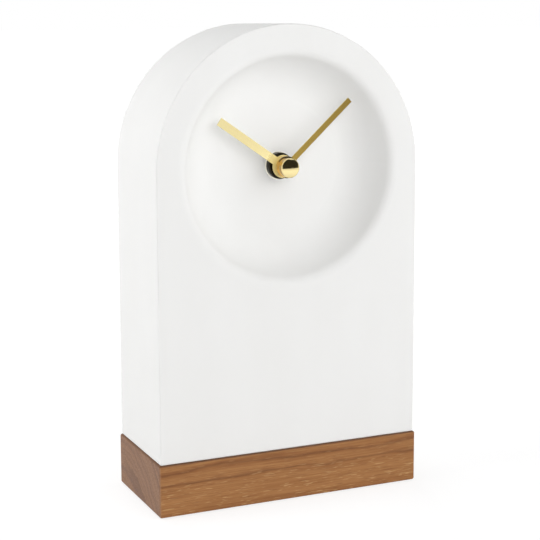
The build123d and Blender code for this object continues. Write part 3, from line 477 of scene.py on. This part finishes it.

# %% [markdown]
# ## Cap nut and washer
# The cap nut's turned side is painted a deeper gold than its polished face, a painted reflection of the
# brass round it. The face is a small mirror, and the border between dark and bright in it depends on how
# the face leans. A few degrees are enough, so the finish tips the shading alone, and the solid stays as
# it is. The washer is plain brass under a pale coat.

# %% Cap nut and washer
# painted reflection: the side's deeper gold stands in for the brass that the turned side reflects
cap_face, cap_side_painted_reflection = (0.79, 0.66, 0.335), (0.6, 0.375, 0.115)
cap_lean = 0.068
fitting_brass = metal("fitting_brass", colour=cap_face, direction=upright, smooth=0.04, dull=0.1)
painted_reflection_tones(fitting_brass, cap_face, cap_side_painted_reflection)
leaning = vector_work(fitting_brass, "ADD", source_of(fitting_brass, "Normal"), (0, 0, cap_lean))
feed(fitting_brass, {"Normal": vector_work(fitting_brass, "NORMALIZE", leaning)})
washer_brass = metal("washer_brass", colour=(0.9, 0.86, 0.74), direction=upright, smooth=0.2, dull=0.3)
dress(fitting_brass, "cap_nut")
dress(washer_brass, "dial_washer")
print("the cap's face leans by", round(math.degrees(math.atan(cap_lean)), 1), "degrees")

# %% [markdown]
# ## Dark nut behind the hands
# The round nut that holds the movement to the case is not brass. It is plated nearly black and
# polished, so it shows only thin grey streaks of the white dish. A dark metal with a little turned
# texture gives that.

# %% Dark plated nut
lathe_depth = 0.002
dark_plate = new_finish("dark_plate", {"Base Color": (0.03, 0.026, 0.018, 1), "Metallic": 1.0})
lathe_marks = clouds(dark_plate, cycles=(0.4, 4.0, 0.4))
feed(dark_plate, {
    "Roughness": spread(dark_plate, lathe_marks, out_low=0.1, out_high=0.22),
    "Normal": relief(dark_plate, lathe_marks, lathe_depth),
})
dress(dark_plate, "collar_nut")

# %% [markdown]
# ## Moulded plastics and rubber
# The housing, the knob and the wheels are injection moulded, and the feet are pressed rubber. A tool
# that was spark eroded leaves a fine even grain on every face, and slow clouds show where the plastic
# flowed. Each is one noise at its own size, so the same helper serves them all and only shade, grain
# and gloss change.

# %% A moulded material
flow_cycles = (0.06, 0.06, 0.024)


def moulded(name, shade, lighter, grain, depth, smooth, dull):
    """Moulded material with clouds of flow and the grain of its tool, in grains for each millimetre."""
    finish = new_finish(name, {"Specular IOR Level": 0.4})
    flow = clouds(finish, flow_cycles, detail=3.0)
    pits = clouds(finish, (grain, grain, grain))
    feed(finish, {
        "Base Color": two_shades(finish, flow, shade, lighter),
        "Roughness": spread(finish, pits, out_low=smooth, out_high=dull),
        "Normal": relief(finish, pits, depth),
    })
    return finish


print("flow in cycles for each mm:", flow_cycles)

# %% Plastics
housing_plastic = moulded(
    "housing_plastic", shade=(0.016, 0.016, 0.017), lighter=(0.028, 0.028, 0.03),
    grain=3.0, depth=0.02, smooth=0.42, dull=0.6,
)
knob_plastic = moulded(
    "knob_plastic", shade=(0.022, 0.022, 0.024), lighter=(0.032, 0.032, 0.035),
    grain=1.2, depth=0.006, smooth=0.28, dull=0.42,
)
wheel_plastic = moulded(
    "wheel_plastic", shade=(0.72, 0.7, 0.63), lighter=(0.8, 0.78, 0.71),
    grain=2.0, depth=0.005, smooth=0.3, dull=0.45,
)
bobbin_plastic = moulded(
    "bobbin_plastic", shade=(0.03, 0.035, 0.03), lighter=(0.05, 0.055, 0.05),
    grain=2.5, depth=0.01, smooth=0.4, dull=0.55,
)
chip_resin = moulded(
    "chip_resin", shade=(0.012, 0.012, 0.012), lighter=(0.02, 0.02, 0.022),
    grain=0.5, depth=0.05, smooth=0.12, dull=0.3,
)
dress(housing_plastic, "movement_housing", "movement_cover")
dress(knob_plastic, "setting_knob")
dress(wheel_plastic, "hour_wheel", "motion_wheel", "third_wheel")
dress(wheel_plastic, "seconds_wheel", "intermediate_wheel", "rotor_pinion")
dress(bobbin_plastic, "coil_bobbin")
dress(chip_resin, "clock_chip")

# %% Rubber
foot_rubber = moulded(
    "foot_rubber", shade=(0.02, 0.02, 0.02), lighter=(0.045, 0.043, 0.04),
    grain=2.2, depth=0.015, smooth=0.7, dull=0.88,
)
gasket_rubber = moulded(
    "gasket_rubber", shade=(0.014, 0.014, 0.014), lighter=(0.03, 0.029, 0.028),
    grain=1.6, depth=0.02, smooth=0.75, dull=0.9,
)
dress(foot_rubber, "foot_front_left", "foot_front_right", "foot_back_left", "foot_back_right")
dress(gasket_rubber, "gasket")

# %% [markdown]
# ## Winding, board and dowels
# The coil is thousands of turns of enamelled wire, far too many to model, so a sine along the coil's
# length raises one ridge for each turn. The board's copper tracks show through its lacquer as paler
# lines, which are a second sine bent by noise. The dowels are beech, with short dark rays along their
# length.

# %% Copper winding
wire_pitch, wire_relief = 0.18, 0.05
thin_enamel, thick_enamel = (0.5, 0.2, 0.09), (0.62, 0.29, 0.14)


def sine(finish, along, pitch):
    """A wave between -1 and 1 that comes back after each pitch."""
    return work(finish, "SINE", work(finish, "MULTIPLY", along, 2 * math.pi / pitch))


winding_copper = new_finish("winding_copper", {"Metallic": 1.0})
turns = sine(winding_copper, axes(winding_copper, place(winding_copper))["X"], wire_pitch)
slack = clouds(winding_copper, cycles=(0.3, 1.5, 1.5))
feed(winding_copper, {
    "Base Color": two_shades(winding_copper, slack, thin_enamel, thick_enamel),
    "Roughness": spread(winding_copper, slack, out_low=0.25, out_high=0.4),
    "Normal": relief(winding_copper, turns, wire_relief),
})
dress(winding_copper, "coil_winding")

# %% Circuit board
track_pitch, track_bend, track_height = 1.9, 1.5, 0.03
paper_dark, paper_light, track_pale = (0.2, 0.11, 0.035), (0.28, 0.16, 0.05), (0.42, 0.24, 0.07)
board_laminate = new_finish("board_laminate", {"Specular IOR Level": 0.5})
bend = clouds(board_laminate, cycles=(0.12, 0.12, 0.12), detail=1.0)
up_board = axes(board_laminate, place(board_laminate))["Z"]
moved = spread(board_laminate, bend, out_low=-track_bend, out_high=track_bend)
up_board = work(board_laminate, "ADD", up_board, moved)
track_share = levels(board_laminate, sine(board_laminate, up_board, track_pitch), low=0.35, high=0.5)
paper = clouds(board_laminate, cycles=(1.0, 1.0, 4.0), detail=3.0)
paper_shade = two_shades(board_laminate, paper, paper_dark, paper_light)
feed(board_laminate, {
    "Base Color": mixed(board_laminate, track_share, paper_shade, track_pale),
    "Roughness": spread(board_laminate, paper, out_low=0.3, out_high=0.45),
    "Normal": relief(board_laminate, track_share, track_height),
})
dress(board_laminate, "circuit_board")

# %% Beech dowels
beech_dark, beech_light, ray_dark = (0.5, 0.32, 0.16), (0.62, 0.43, 0.24), (0.3, 0.16, 0.07)
beech_depth = 0.02
dowel_wood = new_finish("dowel_wood", {"Specular IOR Level": 0.3})
beech = clouds(dowel_wood, cycles=(1.5, 1.5, 0.06), detail=3.0)
rays = clouds(dowel_wood, cycles=(2.5, 2.5, 0.5), detail=1.0)
beech_shade = two_shades(dowel_wood, beech, beech_dark, beech_light)
feed(dowel_wood, {
    "Base Color": mixed(dowel_wood, levels(dowel_wood, rays, low=0.6, high=0.7), beech_shade, ray_dark),
    "Roughness": spread(dowel_wood, beech, out_low=0.6, out_high=0.78),
    "Normal": relief(dowel_wood, beech, beech_depth),
})
dress(dowel_wood, "plinth_dowels")

# %% [markdown]
# ## Film of the battery
# A dry cell is a plated can in a shrunk plastic film. The film is slate blue with two pale rings near
# the plus end and nothing else printed on it. A ramp along the cell's length gives the rings, and a
# wide noise the small waves that shrinking leaves.

# %% Film of the battery
half_cell, shrink_depth = 26.0, 0.06
slate, pale, scuffed = (0.035, 0.075, 0.15), (0.5, 0.52, 0.53), (0.2, 0.23, 0.27)
film_stops = [
    (0.0, slate), (0.14, slate), (0.145, pale), (0.175, pale), (0.18, slate), (0.205, slate), (0.21, pale),
    (0.218, pale), (0.223, slate), (1.0, slate),
]
battery_film = new_finish("battery_film", {"Specular IOR Level": 0.5})
from_plus = work(battery_film, "ADD", axes(battery_film, place(battery_film))["X"], half_cell)
film_shade = shades(battery_film, work(battery_film, "DIVIDE", from_plus, 2 * half_cell), film_stops)
shrink = clouds(battery_film, cycles=(0.14, 0.35, 0.35))
scuff = clouds(battery_film, cycles=(0.4, 3, 3), detail=3.0)
scuff_share = levels(battery_film, scuff, low=0.62, high=0.75, out_high=0.14)
feed(battery_film, {
    "Base Color": mixed(battery_film, scuff_share, film_shade, scuffed),
    "Roughness": levels(battery_film, scuff, low=0.4, high=0.75, out_low=0.16, out_high=0.42),
    "Normal": relief(battery_film, shrink, shrink_depth),
})
dress(battery_film, "battery_sleeve")

# %% [markdown]
# ## Small moulded details at the back
# The solids give the movement its housing, cover and knob. A real cover also has clips that hold it, a
# bare panel, marks for the battery's ends and arrows for setting, all moulded in one shot with it. They
# are modelled here as by hand: a primitive at its place, then edit mode, then modifiers that are
# applied. The helpers select faces by their place and settle a finished piece on the body that carries
# it. Raised pieces are let into what carries them by a tenth of a millimetre, so that no gap shows.

# %% Helpers for small pieces
seat_depth = 0.1 * mm
squarely = 0.9
smooth_below = math.radians(35)
housing_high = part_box("movement_housing")[1]
cover_low, cover_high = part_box("movement_cover")
cover_y = housing_high.y
on_case = {"body": "case", "slot": "housing_plastic", "finish": housing_plastic}


def pick_faces(piece, wanted):
    """Goes to edit mode with the faces selected whose centre and normal pass a test."""
    bpy.ops.object.mode_set(mode="EDIT")
    bpy.ops.mesh.select_mode(type="FACE")
    bpy.ops.mesh.select_all(action="DESELECT")
    bpy.ops.object.mode_set(mode="OBJECT")
    for face in piece.data.polygons:
        face.select = wanted(face.center, face.normal)
    bpy.ops.object.mode_set(mode="EDIT")


def soften(piece, width, segments=2):
    """Rounds the piece's edges with an applied bevel."""
    bpy.ops.object.mode_set(mode="OBJECT")
    rounding = piece.modifiers.new("rounding", "BEVEL")
    rounding.width, rounding.segments, rounding.limit_method = width, segments, "ANGLE"
    bpy.ops.object.modifier_apply(modifier=rounding.name)


def settle(piece, name, body, slot, finish):
    """Puts a finished piece's place in its mesh and says what it rides on and looks like."""
    bpy.ops.object.mode_set(mode="OBJECT")
    bpy.ops.object.transform_apply(location=True, rotation=True, scale=True)
    bpy.ops.object.shade_smooth_by_angle(angle=smooth_below)
    piece.name = piece.data.name = name
    piece.data.materials.clear()
    piece.data.materials.append(finish)
    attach(piece, body)
    print(name, "on", body, "size in mm", [round(side / mm, 2) for side in piece.dimensions])


print("back of the cover at Y in mm:", round(cover_y / mm, 2))

# %% [markdown]
# ## Bare panel
# Most movements carry a panel for a label. This one stays bare. It is a thin plate with rounded corners
# and a sunk middle. A cube is beveled at its four corners, and its back face is inset and pushed in.

# %% Bare panel on the cover
panel_width, panel_height, panel_proud = 24 * mm, 15 * mm, 0.7 * mm
panel_rim, panel_sink, panel_corner, panel_edge = 1.0 * mm, 0.4 * mm, 2 * mm, 0.12 * mm
panel_x, panel_drop, corner_steps = 13.5 * mm, 14.5 * mm, 5
panel_place = (panel_x, cover_y + panel_proud / 2 - seat_depth, cover_high.z - panel_drop)
bpy.ops.object.select_all(action="DESELECT")
bpy.ops.mesh.primitive_cube_add(size=1, location=panel_place, scale=(panel_width, panel_proud, panel_height))
panel = bpy.context.object
bpy.ops.object.transform_apply(location=True, rotation=True, scale=True)
for edge in panel.data.edges:
    first, second = (panel.data.vertices[corner].co for corner in edge.vertices)
    edge.select = abs(first.y - second.y) > panel_proud / 2
bpy.ops.object.mode_set(mode="EDIT")
bpy.ops.mesh.select_mode(type="EDGE")
bpy.ops.mesh.bevel(offset=panel_corner, segments=corner_steps)
pick_faces(panel, lambda centre, normal: normal.y > squarely)
bpy.ops.mesh.inset(thickness=panel_rim)
bpy.ops.transform.translate(value=(0, -panel_sink, 0))
soften(panel, panel_edge)
settle(panel, "cover_panel", **on_case)

# %% [markdown]
# ## Clips
# Four clips reach from the cover over the housing's sides. One is modelled from a cube: its free end is
# drawn in, its outer face gets a sunk window, and its edges are rounded. The other three are copies of
# it, each with its own mesh, moved along the side or mirrored to the other one.

# %% One clip
clip_thick, clip_long, clip_wide = 1.0 * mm, 8.0 * mm, 5.0 * mm
clip_back, clip_height = 0.5 * mm, 8 * mm
tip_thick, tip_wide = 0.6, 0.7
clip_rim, clip_sink, clip_edge, outward = 1.0 * mm, 0.35 * mm, 0.15 * mm, 0.7
clip_x = housing_high.x + clip_thick / 2 - seat_depth
clip_place = (clip_x, cover_y - clip_back - clip_long / 2, cover_low.z + clip_height)
bpy.ops.object.select_all(action="DESELECT")
bpy.ops.mesh.primitive_cube_add(size=1, location=clip_place, scale=(clip_thick, clip_long, clip_wide))
clip = bpy.context.object
bpy.ops.object.transform_apply(location=True, rotation=True, scale=True)
pick_faces(clip, lambda centre, normal: normal.y < -squarely)
bpy.ops.transform.resize(value=(tip_thick, 1, tip_wide))
pick_faces(clip, lambda centre, normal: normal.x > outward)
bpy.ops.mesh.inset(thickness=clip_rim)
bpy.ops.transform.translate(value=(-clip_sink, 0, 0))
soften(clip, clip_edge)
settle(clip, "clip_right_low", **on_case)

# %% Copies of the clip
clip_rise = (0, 0, 18 * mm)
no_rise = (0, 0, 0)


def copy_of(piece, name, move, mirror):
    """A copy with its own mesh, moved and, if wanted, mirrored to the other side."""
    bpy.ops.object.select_all(action="DESELECT")
    piece.select_set(True)
    bpy.context.view_layer.objects.active = piece
    bpy.ops.object.duplicate(linked=False)
    copy = bpy.context.object
    bpy.ops.object.mode_set(mode="EDIT")
    bpy.ops.mesh.select_all(action="SELECT")
    bpy.ops.transform.translate(value=move)
    if mirror:
        bpy.ops.transform.resize(value=(-1, 1, 1), center_override=(0, 0, 0))
        bpy.ops.mesh.normals_make_consistent(inside=False)
    settle(copy, name, **on_case)


copy_of(clip, "clip_right_high", move=clip_rise, mirror=False)
copy_of(clip, "clip_left_low", move=no_rise, mirror=True)
copy_of(clip, "clip_left_high", move=clip_rise, mirror=True)

# %% [markdown]
# ## Plus and minus
# The cover shows which way the cell goes in. Each mark is raised a little. A small cube is the middle,
# and extruding its side faces gives the arms, two for the minus and four for the plus.

# %% Polarity marks
mark_square, mark_arm, mark_proud, mark_edge = 0.9 * mm, 1.3 * mm, 0.7 * mm, 0.1 * mm
mark_reach, mark_height = 22.5 * mm, 3.4 * mm


def polarity_mark(name, mark_x, directions):
    """A raised mark whose arms run in the given directions."""
    mark_place = Vector((mark_x, cover_y + mark_proud / 2 - seat_depth, cover_low.z + mark_height))
    bpy.ops.object.select_all(action="DESELECT")
    bpy.ops.mesh.primitive_cube_add(size=1, location=mark_place, scale=(mark_square, mark_proud, mark_square))
    mark = bpy.context.object
    bpy.ops.object.transform_apply(location=True, rotation=True, scale=True)
    for direction in directions:
        way = Vector(direction)
        pick_faces(mark, lambda centre, normal: normal.dot(way) > squarely and (
            (centre - mark_place).cross(way).length < mark_square / 2))
        bpy.ops.mesh.extrude_region_move(TRANSFORM_OT_translate={"value": way * mark_arm})
    soften(mark, mark_edge)
    settle(mark, name, **on_case)


left_right, up_down = [(1, 0, 0), (-1, 0, 0)], [(0, 0, 1), (0, 0, -1)]
polarity_mark("plus_mark", -mark_reach, left_right + up_down)
polarity_mark("minus_mark", mark_reach, left_right)

# %% [markdown]
# ## Setting arrows
# A curved arrow round the knob shows that it sets the hands, and the knob carries a smaller one. A bent
# arrow could be a curve with a profile, but spinning one small face round the knob's axis is quicker
# and keeps the arrow square. The end face is then widened and drawn to a point.

# %% Curved arrows
spin_steps, arrow_edge, merge_reach = 20, 0.06 * mm, 0.001 * mm
head_wide, head_long, head_point = 2.8, 2.6, 0.08
knob_low, knob_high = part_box("setting_knob")
knob_middle = (knob_low + knob_high) / 2
on_knob = {"body": "motion_wheel", "slot": "knob_plastic", "finish": knob_plastic}


def curved_arrow(name, radius, width, proud, seat_y, sweep, carrier):
    """A raised arrow that runs round the knob's axis through a sweep in degrees."""
    axis_place = Vector((knob_middle.x, seat_y, knob_middle.z))
    face_place = (knob_middle.x + radius, seat_y + proud / 2 - seat_depth, knob_middle.z)
    bpy.ops.object.select_all(action="DESELECT")
    bpy.ops.mesh.primitive_plane_add(size=1, location=face_place)
    arrow = bpy.context.object
    bpy.ops.object.mode_set(mode="EDIT")
    bpy.ops.transform.resize(value=(width, proud, 1))
    bpy.ops.mesh.spin(steps=spin_steps, angle=math.radians(sweep), center=axis_place, axis=(0, 1, 0))
    bpy.ops.mesh.extrude_region_move()
    bpy.ops.transform.resize(value=(head_wide, 1, head_wide))
    bpy.ops.object.mode_set(mode="OBJECT")
    end = [face for face in arrow.data.polygons if face.select][0]
    end_place = arrow.matrix_world @ end.center
    outward_way = Vector((end_place.x - knob_middle.x, 0, end_place.z - knob_middle.z))
    ahead = outward_way.cross(Vector((0, 1, 0))).normalized()
    bpy.ops.object.mode_set(mode="EDIT")
    bpy.ops.mesh.extrude_region_move(TRANSFORM_OT_translate={"value": ahead * head_long * width})
    bpy.ops.transform.resize(value=(head_point, 1, head_point))
    bpy.ops.mesh.select_all(action="SELECT")
    bpy.ops.mesh.remove_doubles(threshold=merge_reach)
    bpy.ops.mesh.normals_make_consistent(inside=False)
    soften(arrow, arrow_edge, segments=1)
    settle(arrow, name, **carrier)


curved_arrow(
    "setting_arrow", radius=9.2 * mm, width=0.8 * mm, proud=0.7 * mm,
    seat_y=cover_y, sweep=120, carrier=on_case,
)
curved_arrow(
    "knob_arrow", radius=2.9 * mm, width=0.55 * mm, proud=0.5 * mm,
    seat_y=knob_high.y, sweep=230, carrier=on_knob,
)

# %% [markdown]
# ## Cradle of the battery
# Three ribs in the bay hold the cell off the floor. They come into sight when it is taken out. Each is
# a thin block with a round bite, cut by a cylinder a little larger than the cell, so that the cell
# never touches it.

# %% Ribs in the battery bay
rib_thick, rib_spare, rib_edge, rib_spacing = 1.2 * mm, 0.4 * mm, 0.1 * mm, 16 * mm
bite_room, bite_length, bite_sides = 0.12 * mm, 6 * mm, 96
under_cell, below_middle = 0.3 * mm, 1.5 * mm
cell_low, cell_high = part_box("battery_sleeve")
cell_middle = (cell_low + cell_high) / 2
cell_radius = (cell_high.z - cell_low.z) / 2
bay_floor = cell_low.y - under_cell
rib_top = cell_middle.y - below_middle
rib_size = (rib_thick, rib_top - bay_floor, 2 * cell_radius + rib_spare)


def cradle_rib(name, rib_x):
    """A rib across the bay with a round bite for the cell."""
    bpy.ops.object.select_all(action="DESELECT")
    bpy.ops.mesh.primitive_cylinder_add(
        vertices=bite_sides, radius=cell_radius + bite_room, depth=bite_length,
        location=(rib_x, cell_middle.y, cell_middle.z), rotation=(0, math.radians(90), 0),
    )
    bite = bpy.context.object
    rib_place = (rib_x, (bay_floor + rib_top) / 2, cell_middle.z)
    bpy.ops.mesh.primitive_cube_add(size=1, location=rib_place, scale=rib_size)
    rib = bpy.context.object
    cut = rib.modifiers.new("bite", "BOOLEAN")
    cut.operation, cut.object, cut.solver = "DIFFERENCE", bite, "EXACT"
    bpy.ops.object.modifier_apply(modifier=cut.name)
    bpy.data.objects.remove(bite)
    soften(rib, rib_edge, segments=1)
    settle(rib, name, **on_case)


cradle_rib("cradle_rib_plus", -rib_spacing)
cradle_rib("cradle_rib_middle", 0)
cradle_rib("cradle_rib_minus", rib_spacing)

# %% [markdown]
# ## Insulator of the cell
# A flat ring keeps the plus nub apart from the can. A circle is filled, inset and opened in its middle,
# and Solidify gives it its thickness. It goes with the battery when that is taken out.

# %% Insulator ring
ring_inset, ring_width, ring_thick, ring_edge, ring_sides = 0.9 * mm, 2.9 * mm, 0.35 * mm, 0.08 * mm, 64
ring_lift = 0.1 * mm
ring_place = (cell_low.x - ring_lift, cell_middle.y, cell_middle.z)
bpy.ops.object.select_all(action="DESELECT")
bpy.ops.mesh.primitive_circle_add(
    vertices=ring_sides, radius=cell_radius - ring_inset, fill_type="NGON",
    location=ring_place, rotation=(0, math.radians(-90), 0),
)
insulator = bpy.context.object
bpy.ops.object.mode_set(mode="EDIT")
bpy.ops.mesh.select_all(action="SELECT")
bpy.ops.mesh.inset(thickness=ring_width)
bpy.ops.mesh.delete(type="FACE")
bpy.ops.object.mode_set(mode="OBJECT")
wall = insulator.modifiers.new("wall", "SOLIDIFY")
wall.thickness, wall.offset = ring_thick, 0.0
bpy.ops.object.modifier_apply(modifier=wall.name)
soften(insulator, ring_edge)
settle(insulator, "cell_insulator", body="battery", slot="battery_film", finish=battery_film)

# %% [markdown]
# ## Studio
# The photograph has a white ground that runs out of sight. A white room could be built round the clock,
# but then its walls would light it too. Instead the floor and the sky are white only to the camera and
# to reflections, and light the clock at their own level. The floor keeps the soft shadow under the
# plinth: near the clock a part of its white is light from the lamps, which the plinth can hold off.

# %% Floor
floor_size, floor_drop = 60, 0.1 * mm
lit_grey, faint_grey = (0.86, 0.86, 0.86, 1), (0.3, 0.3, 0.3, 1)
glow_near, glow_far, glow_least = 150, 600, 0.78


def seen_rays(finish):
    """1 for the rays of the camera, of reflections and of glass, and 0 for those that light the clock."""
    ray = add_node(finish, "LightPath", {}).outputs
    seen = work(finish, "MAXIMUM", ray["Is Camera Ray"], ray["Is Glossy Ray"])
    return work(finish, "MAXIMUM", seen, ray["Is Transmission Ray"])


bpy.ops.object.select_all(action="DESELECT")
bpy.ops.mesh.primitive_plane_add(size=floor_size, location=(0, 0, -floor_drop))
floor = bpy.context.object
floor.name = "studio_floor"
floor_white = bpy.data.materials.new("floor_white")
floor_white.use_nodes = True
tree = floor_white.node_tree
tree.nodes.remove(tree.nodes["Principled BSDF"])
from_clock = length_of(floor_white, place(floor_white))
glow = levels(floor_white, from_clock, glow_near, glow_far, out_low=glow_least)
lit = add_node(floor_white, "BsdfDiffuse", {"Color": lit_grey}).outputs["BSDF"]
faint = add_node(floor_white, "BsdfDiffuse", {"Color": faint_grey}).outputs["BSDF"]
shine = add_node(floor_white, "Emission", {"Color": (1, 1, 1, 1), "Strength": glow}).outputs["Emission"]
shown = add_node(floor_white, "AddShader", {0: faint, 1: shine}).outputs["Shader"]
final = add_node(floor_white, "MixShader", {0: seen_rays(floor_white), 1: lit, 2: shown}).outputs["Shader"]
tree.links.new(final, tree.nodes["Material Output"].inputs["Surface"])
floor.data.materials.append(floor_white)
print("floor in m:", [round(side, 2) for side in floor.dimensions])

# %% Sky
sky_level = 0.12
sky = bpy.data.worlds.new("studio_sky")
bpy.context.scene.world = sky
sky.use_nodes = True
background = sky.node_tree.nodes["Background"]
background.inputs["Color"].default_value = (1, 1, 1, 1)
sky_strength = levels(sky, seen_rays(sky), low=0, high=1, out_low=sky_level)
sky.node_tree.links.new(sky_strength, background.inputs["Strength"])
print("sky lights at", sky_level)

# %% [markdown]
# ## Lamps
# Six soft lamps stand round the clock and face its middle. The front lamp is the largest and gives most
# of the light, from a little to the right. The key is small and weak, and from the right it lights the
# left of the dish and leaves the right of it in shade. The fill lights the left side, and the right
# lamp the other. At the back one lamp stands high and one low, because a high lamp alone would leave
# the pocket dark. One strong lamp would be simpler, but then pale sides would clip to white and the
# others would be grey. No lamp shows in reflections.

# %% Soft lamps
lamp_aim = Vector((0, 0, 0.12))


def soft_lamp(name, stand, width, height, power):
    """A large area lamp that faces the middle of the clock."""
    turn = (lamp_aim - Vector(stand)).to_track_quat("-Z", "Y").to_euler()
    bpy.ops.object.select_all(action="DESELECT")
    bpy.ops.object.light_add(type="AREA", location=stand, rotation=turn)
    lamp = bpy.context.object
    lamp.name = lamp.data.name = name
    lamp.data.shape = "RECTANGLE"
    lamp.data.size, lamp.data.size_y = width, height
    lamp.data.energy = power
    lamp.visible_glossy = False
    print(name, "at", stand, "power", power)


soft_lamp("front_lamp", stand=(0.35, -1.3, 0.5), width=2.3, height=1.5, power=20.8)
soft_lamp("key_lamp", stand=(0.9, -0.31, 0.52), width=1.1, height=1.1, power=2.0)
soft_lamp("fill_lamp", stand=(-1.2, 0.25, 0.65), width=1.0, height=1.0, power=10.7)
soft_lamp("back_lamp", stand=(-0.3, 1.6, 0.9), width=1.6, height=1.4, power=13.5)
soft_lamp("low_back_lamp", stand=(0.25, 1.7, 0.24), width=1.4, height=0.4, power=5.5)
soft_lamp("right_lamp", stand=(1.25, 0.5, 0.35), width=0.9, height=0.6, power=3.6)

# %% [markdown]
# ## Dark card
# Polished metal shows what stands round it, and in an all white studio it would lose its shape. A dark
# card in front, to the right of the camera, gives the brass something to show. It could shade the clock
# as well, so only reflections see it: it is hidden from the camera, throws no shadow and takes no light
# away.

# %% Dark card for the polished metal
card_stand, card_width, card_height = (0.75, -1.2, 0.475), 1.7, 0.67
bpy.ops.object.select_all(action="DESELECT")
bpy.ops.mesh.primitive_plane_add(size=1, location=card_stand, rotation=(math.radians(90), 0, 0))
card = bpy.context.object
card.name = "dark_card"
card.scale = (card_width, card_height, 1.0)
card_black = new_finish("card_black", {"Base Color": (0.03, 0.026, 0.02, 1), "Roughness": 1.0})
card.data.materials.append(card_black)
card.visible_camera = card.visible_diffuse = card.visible_shadow = card.visible_transmission = False
print("dark card at", card_stand, "size in m", card_width, card_height)

# %% [markdown]
# ## Colour
# A view transform can soften bright tones as film does, but then a colour no longer shows as it is
# written. Standard leaves it alone.

# %% Colour as written
bpy.context.scene.view_settings.view_transform = "Standard"
print("view transform:", bpy.context.scene.view_settings.view_transform)
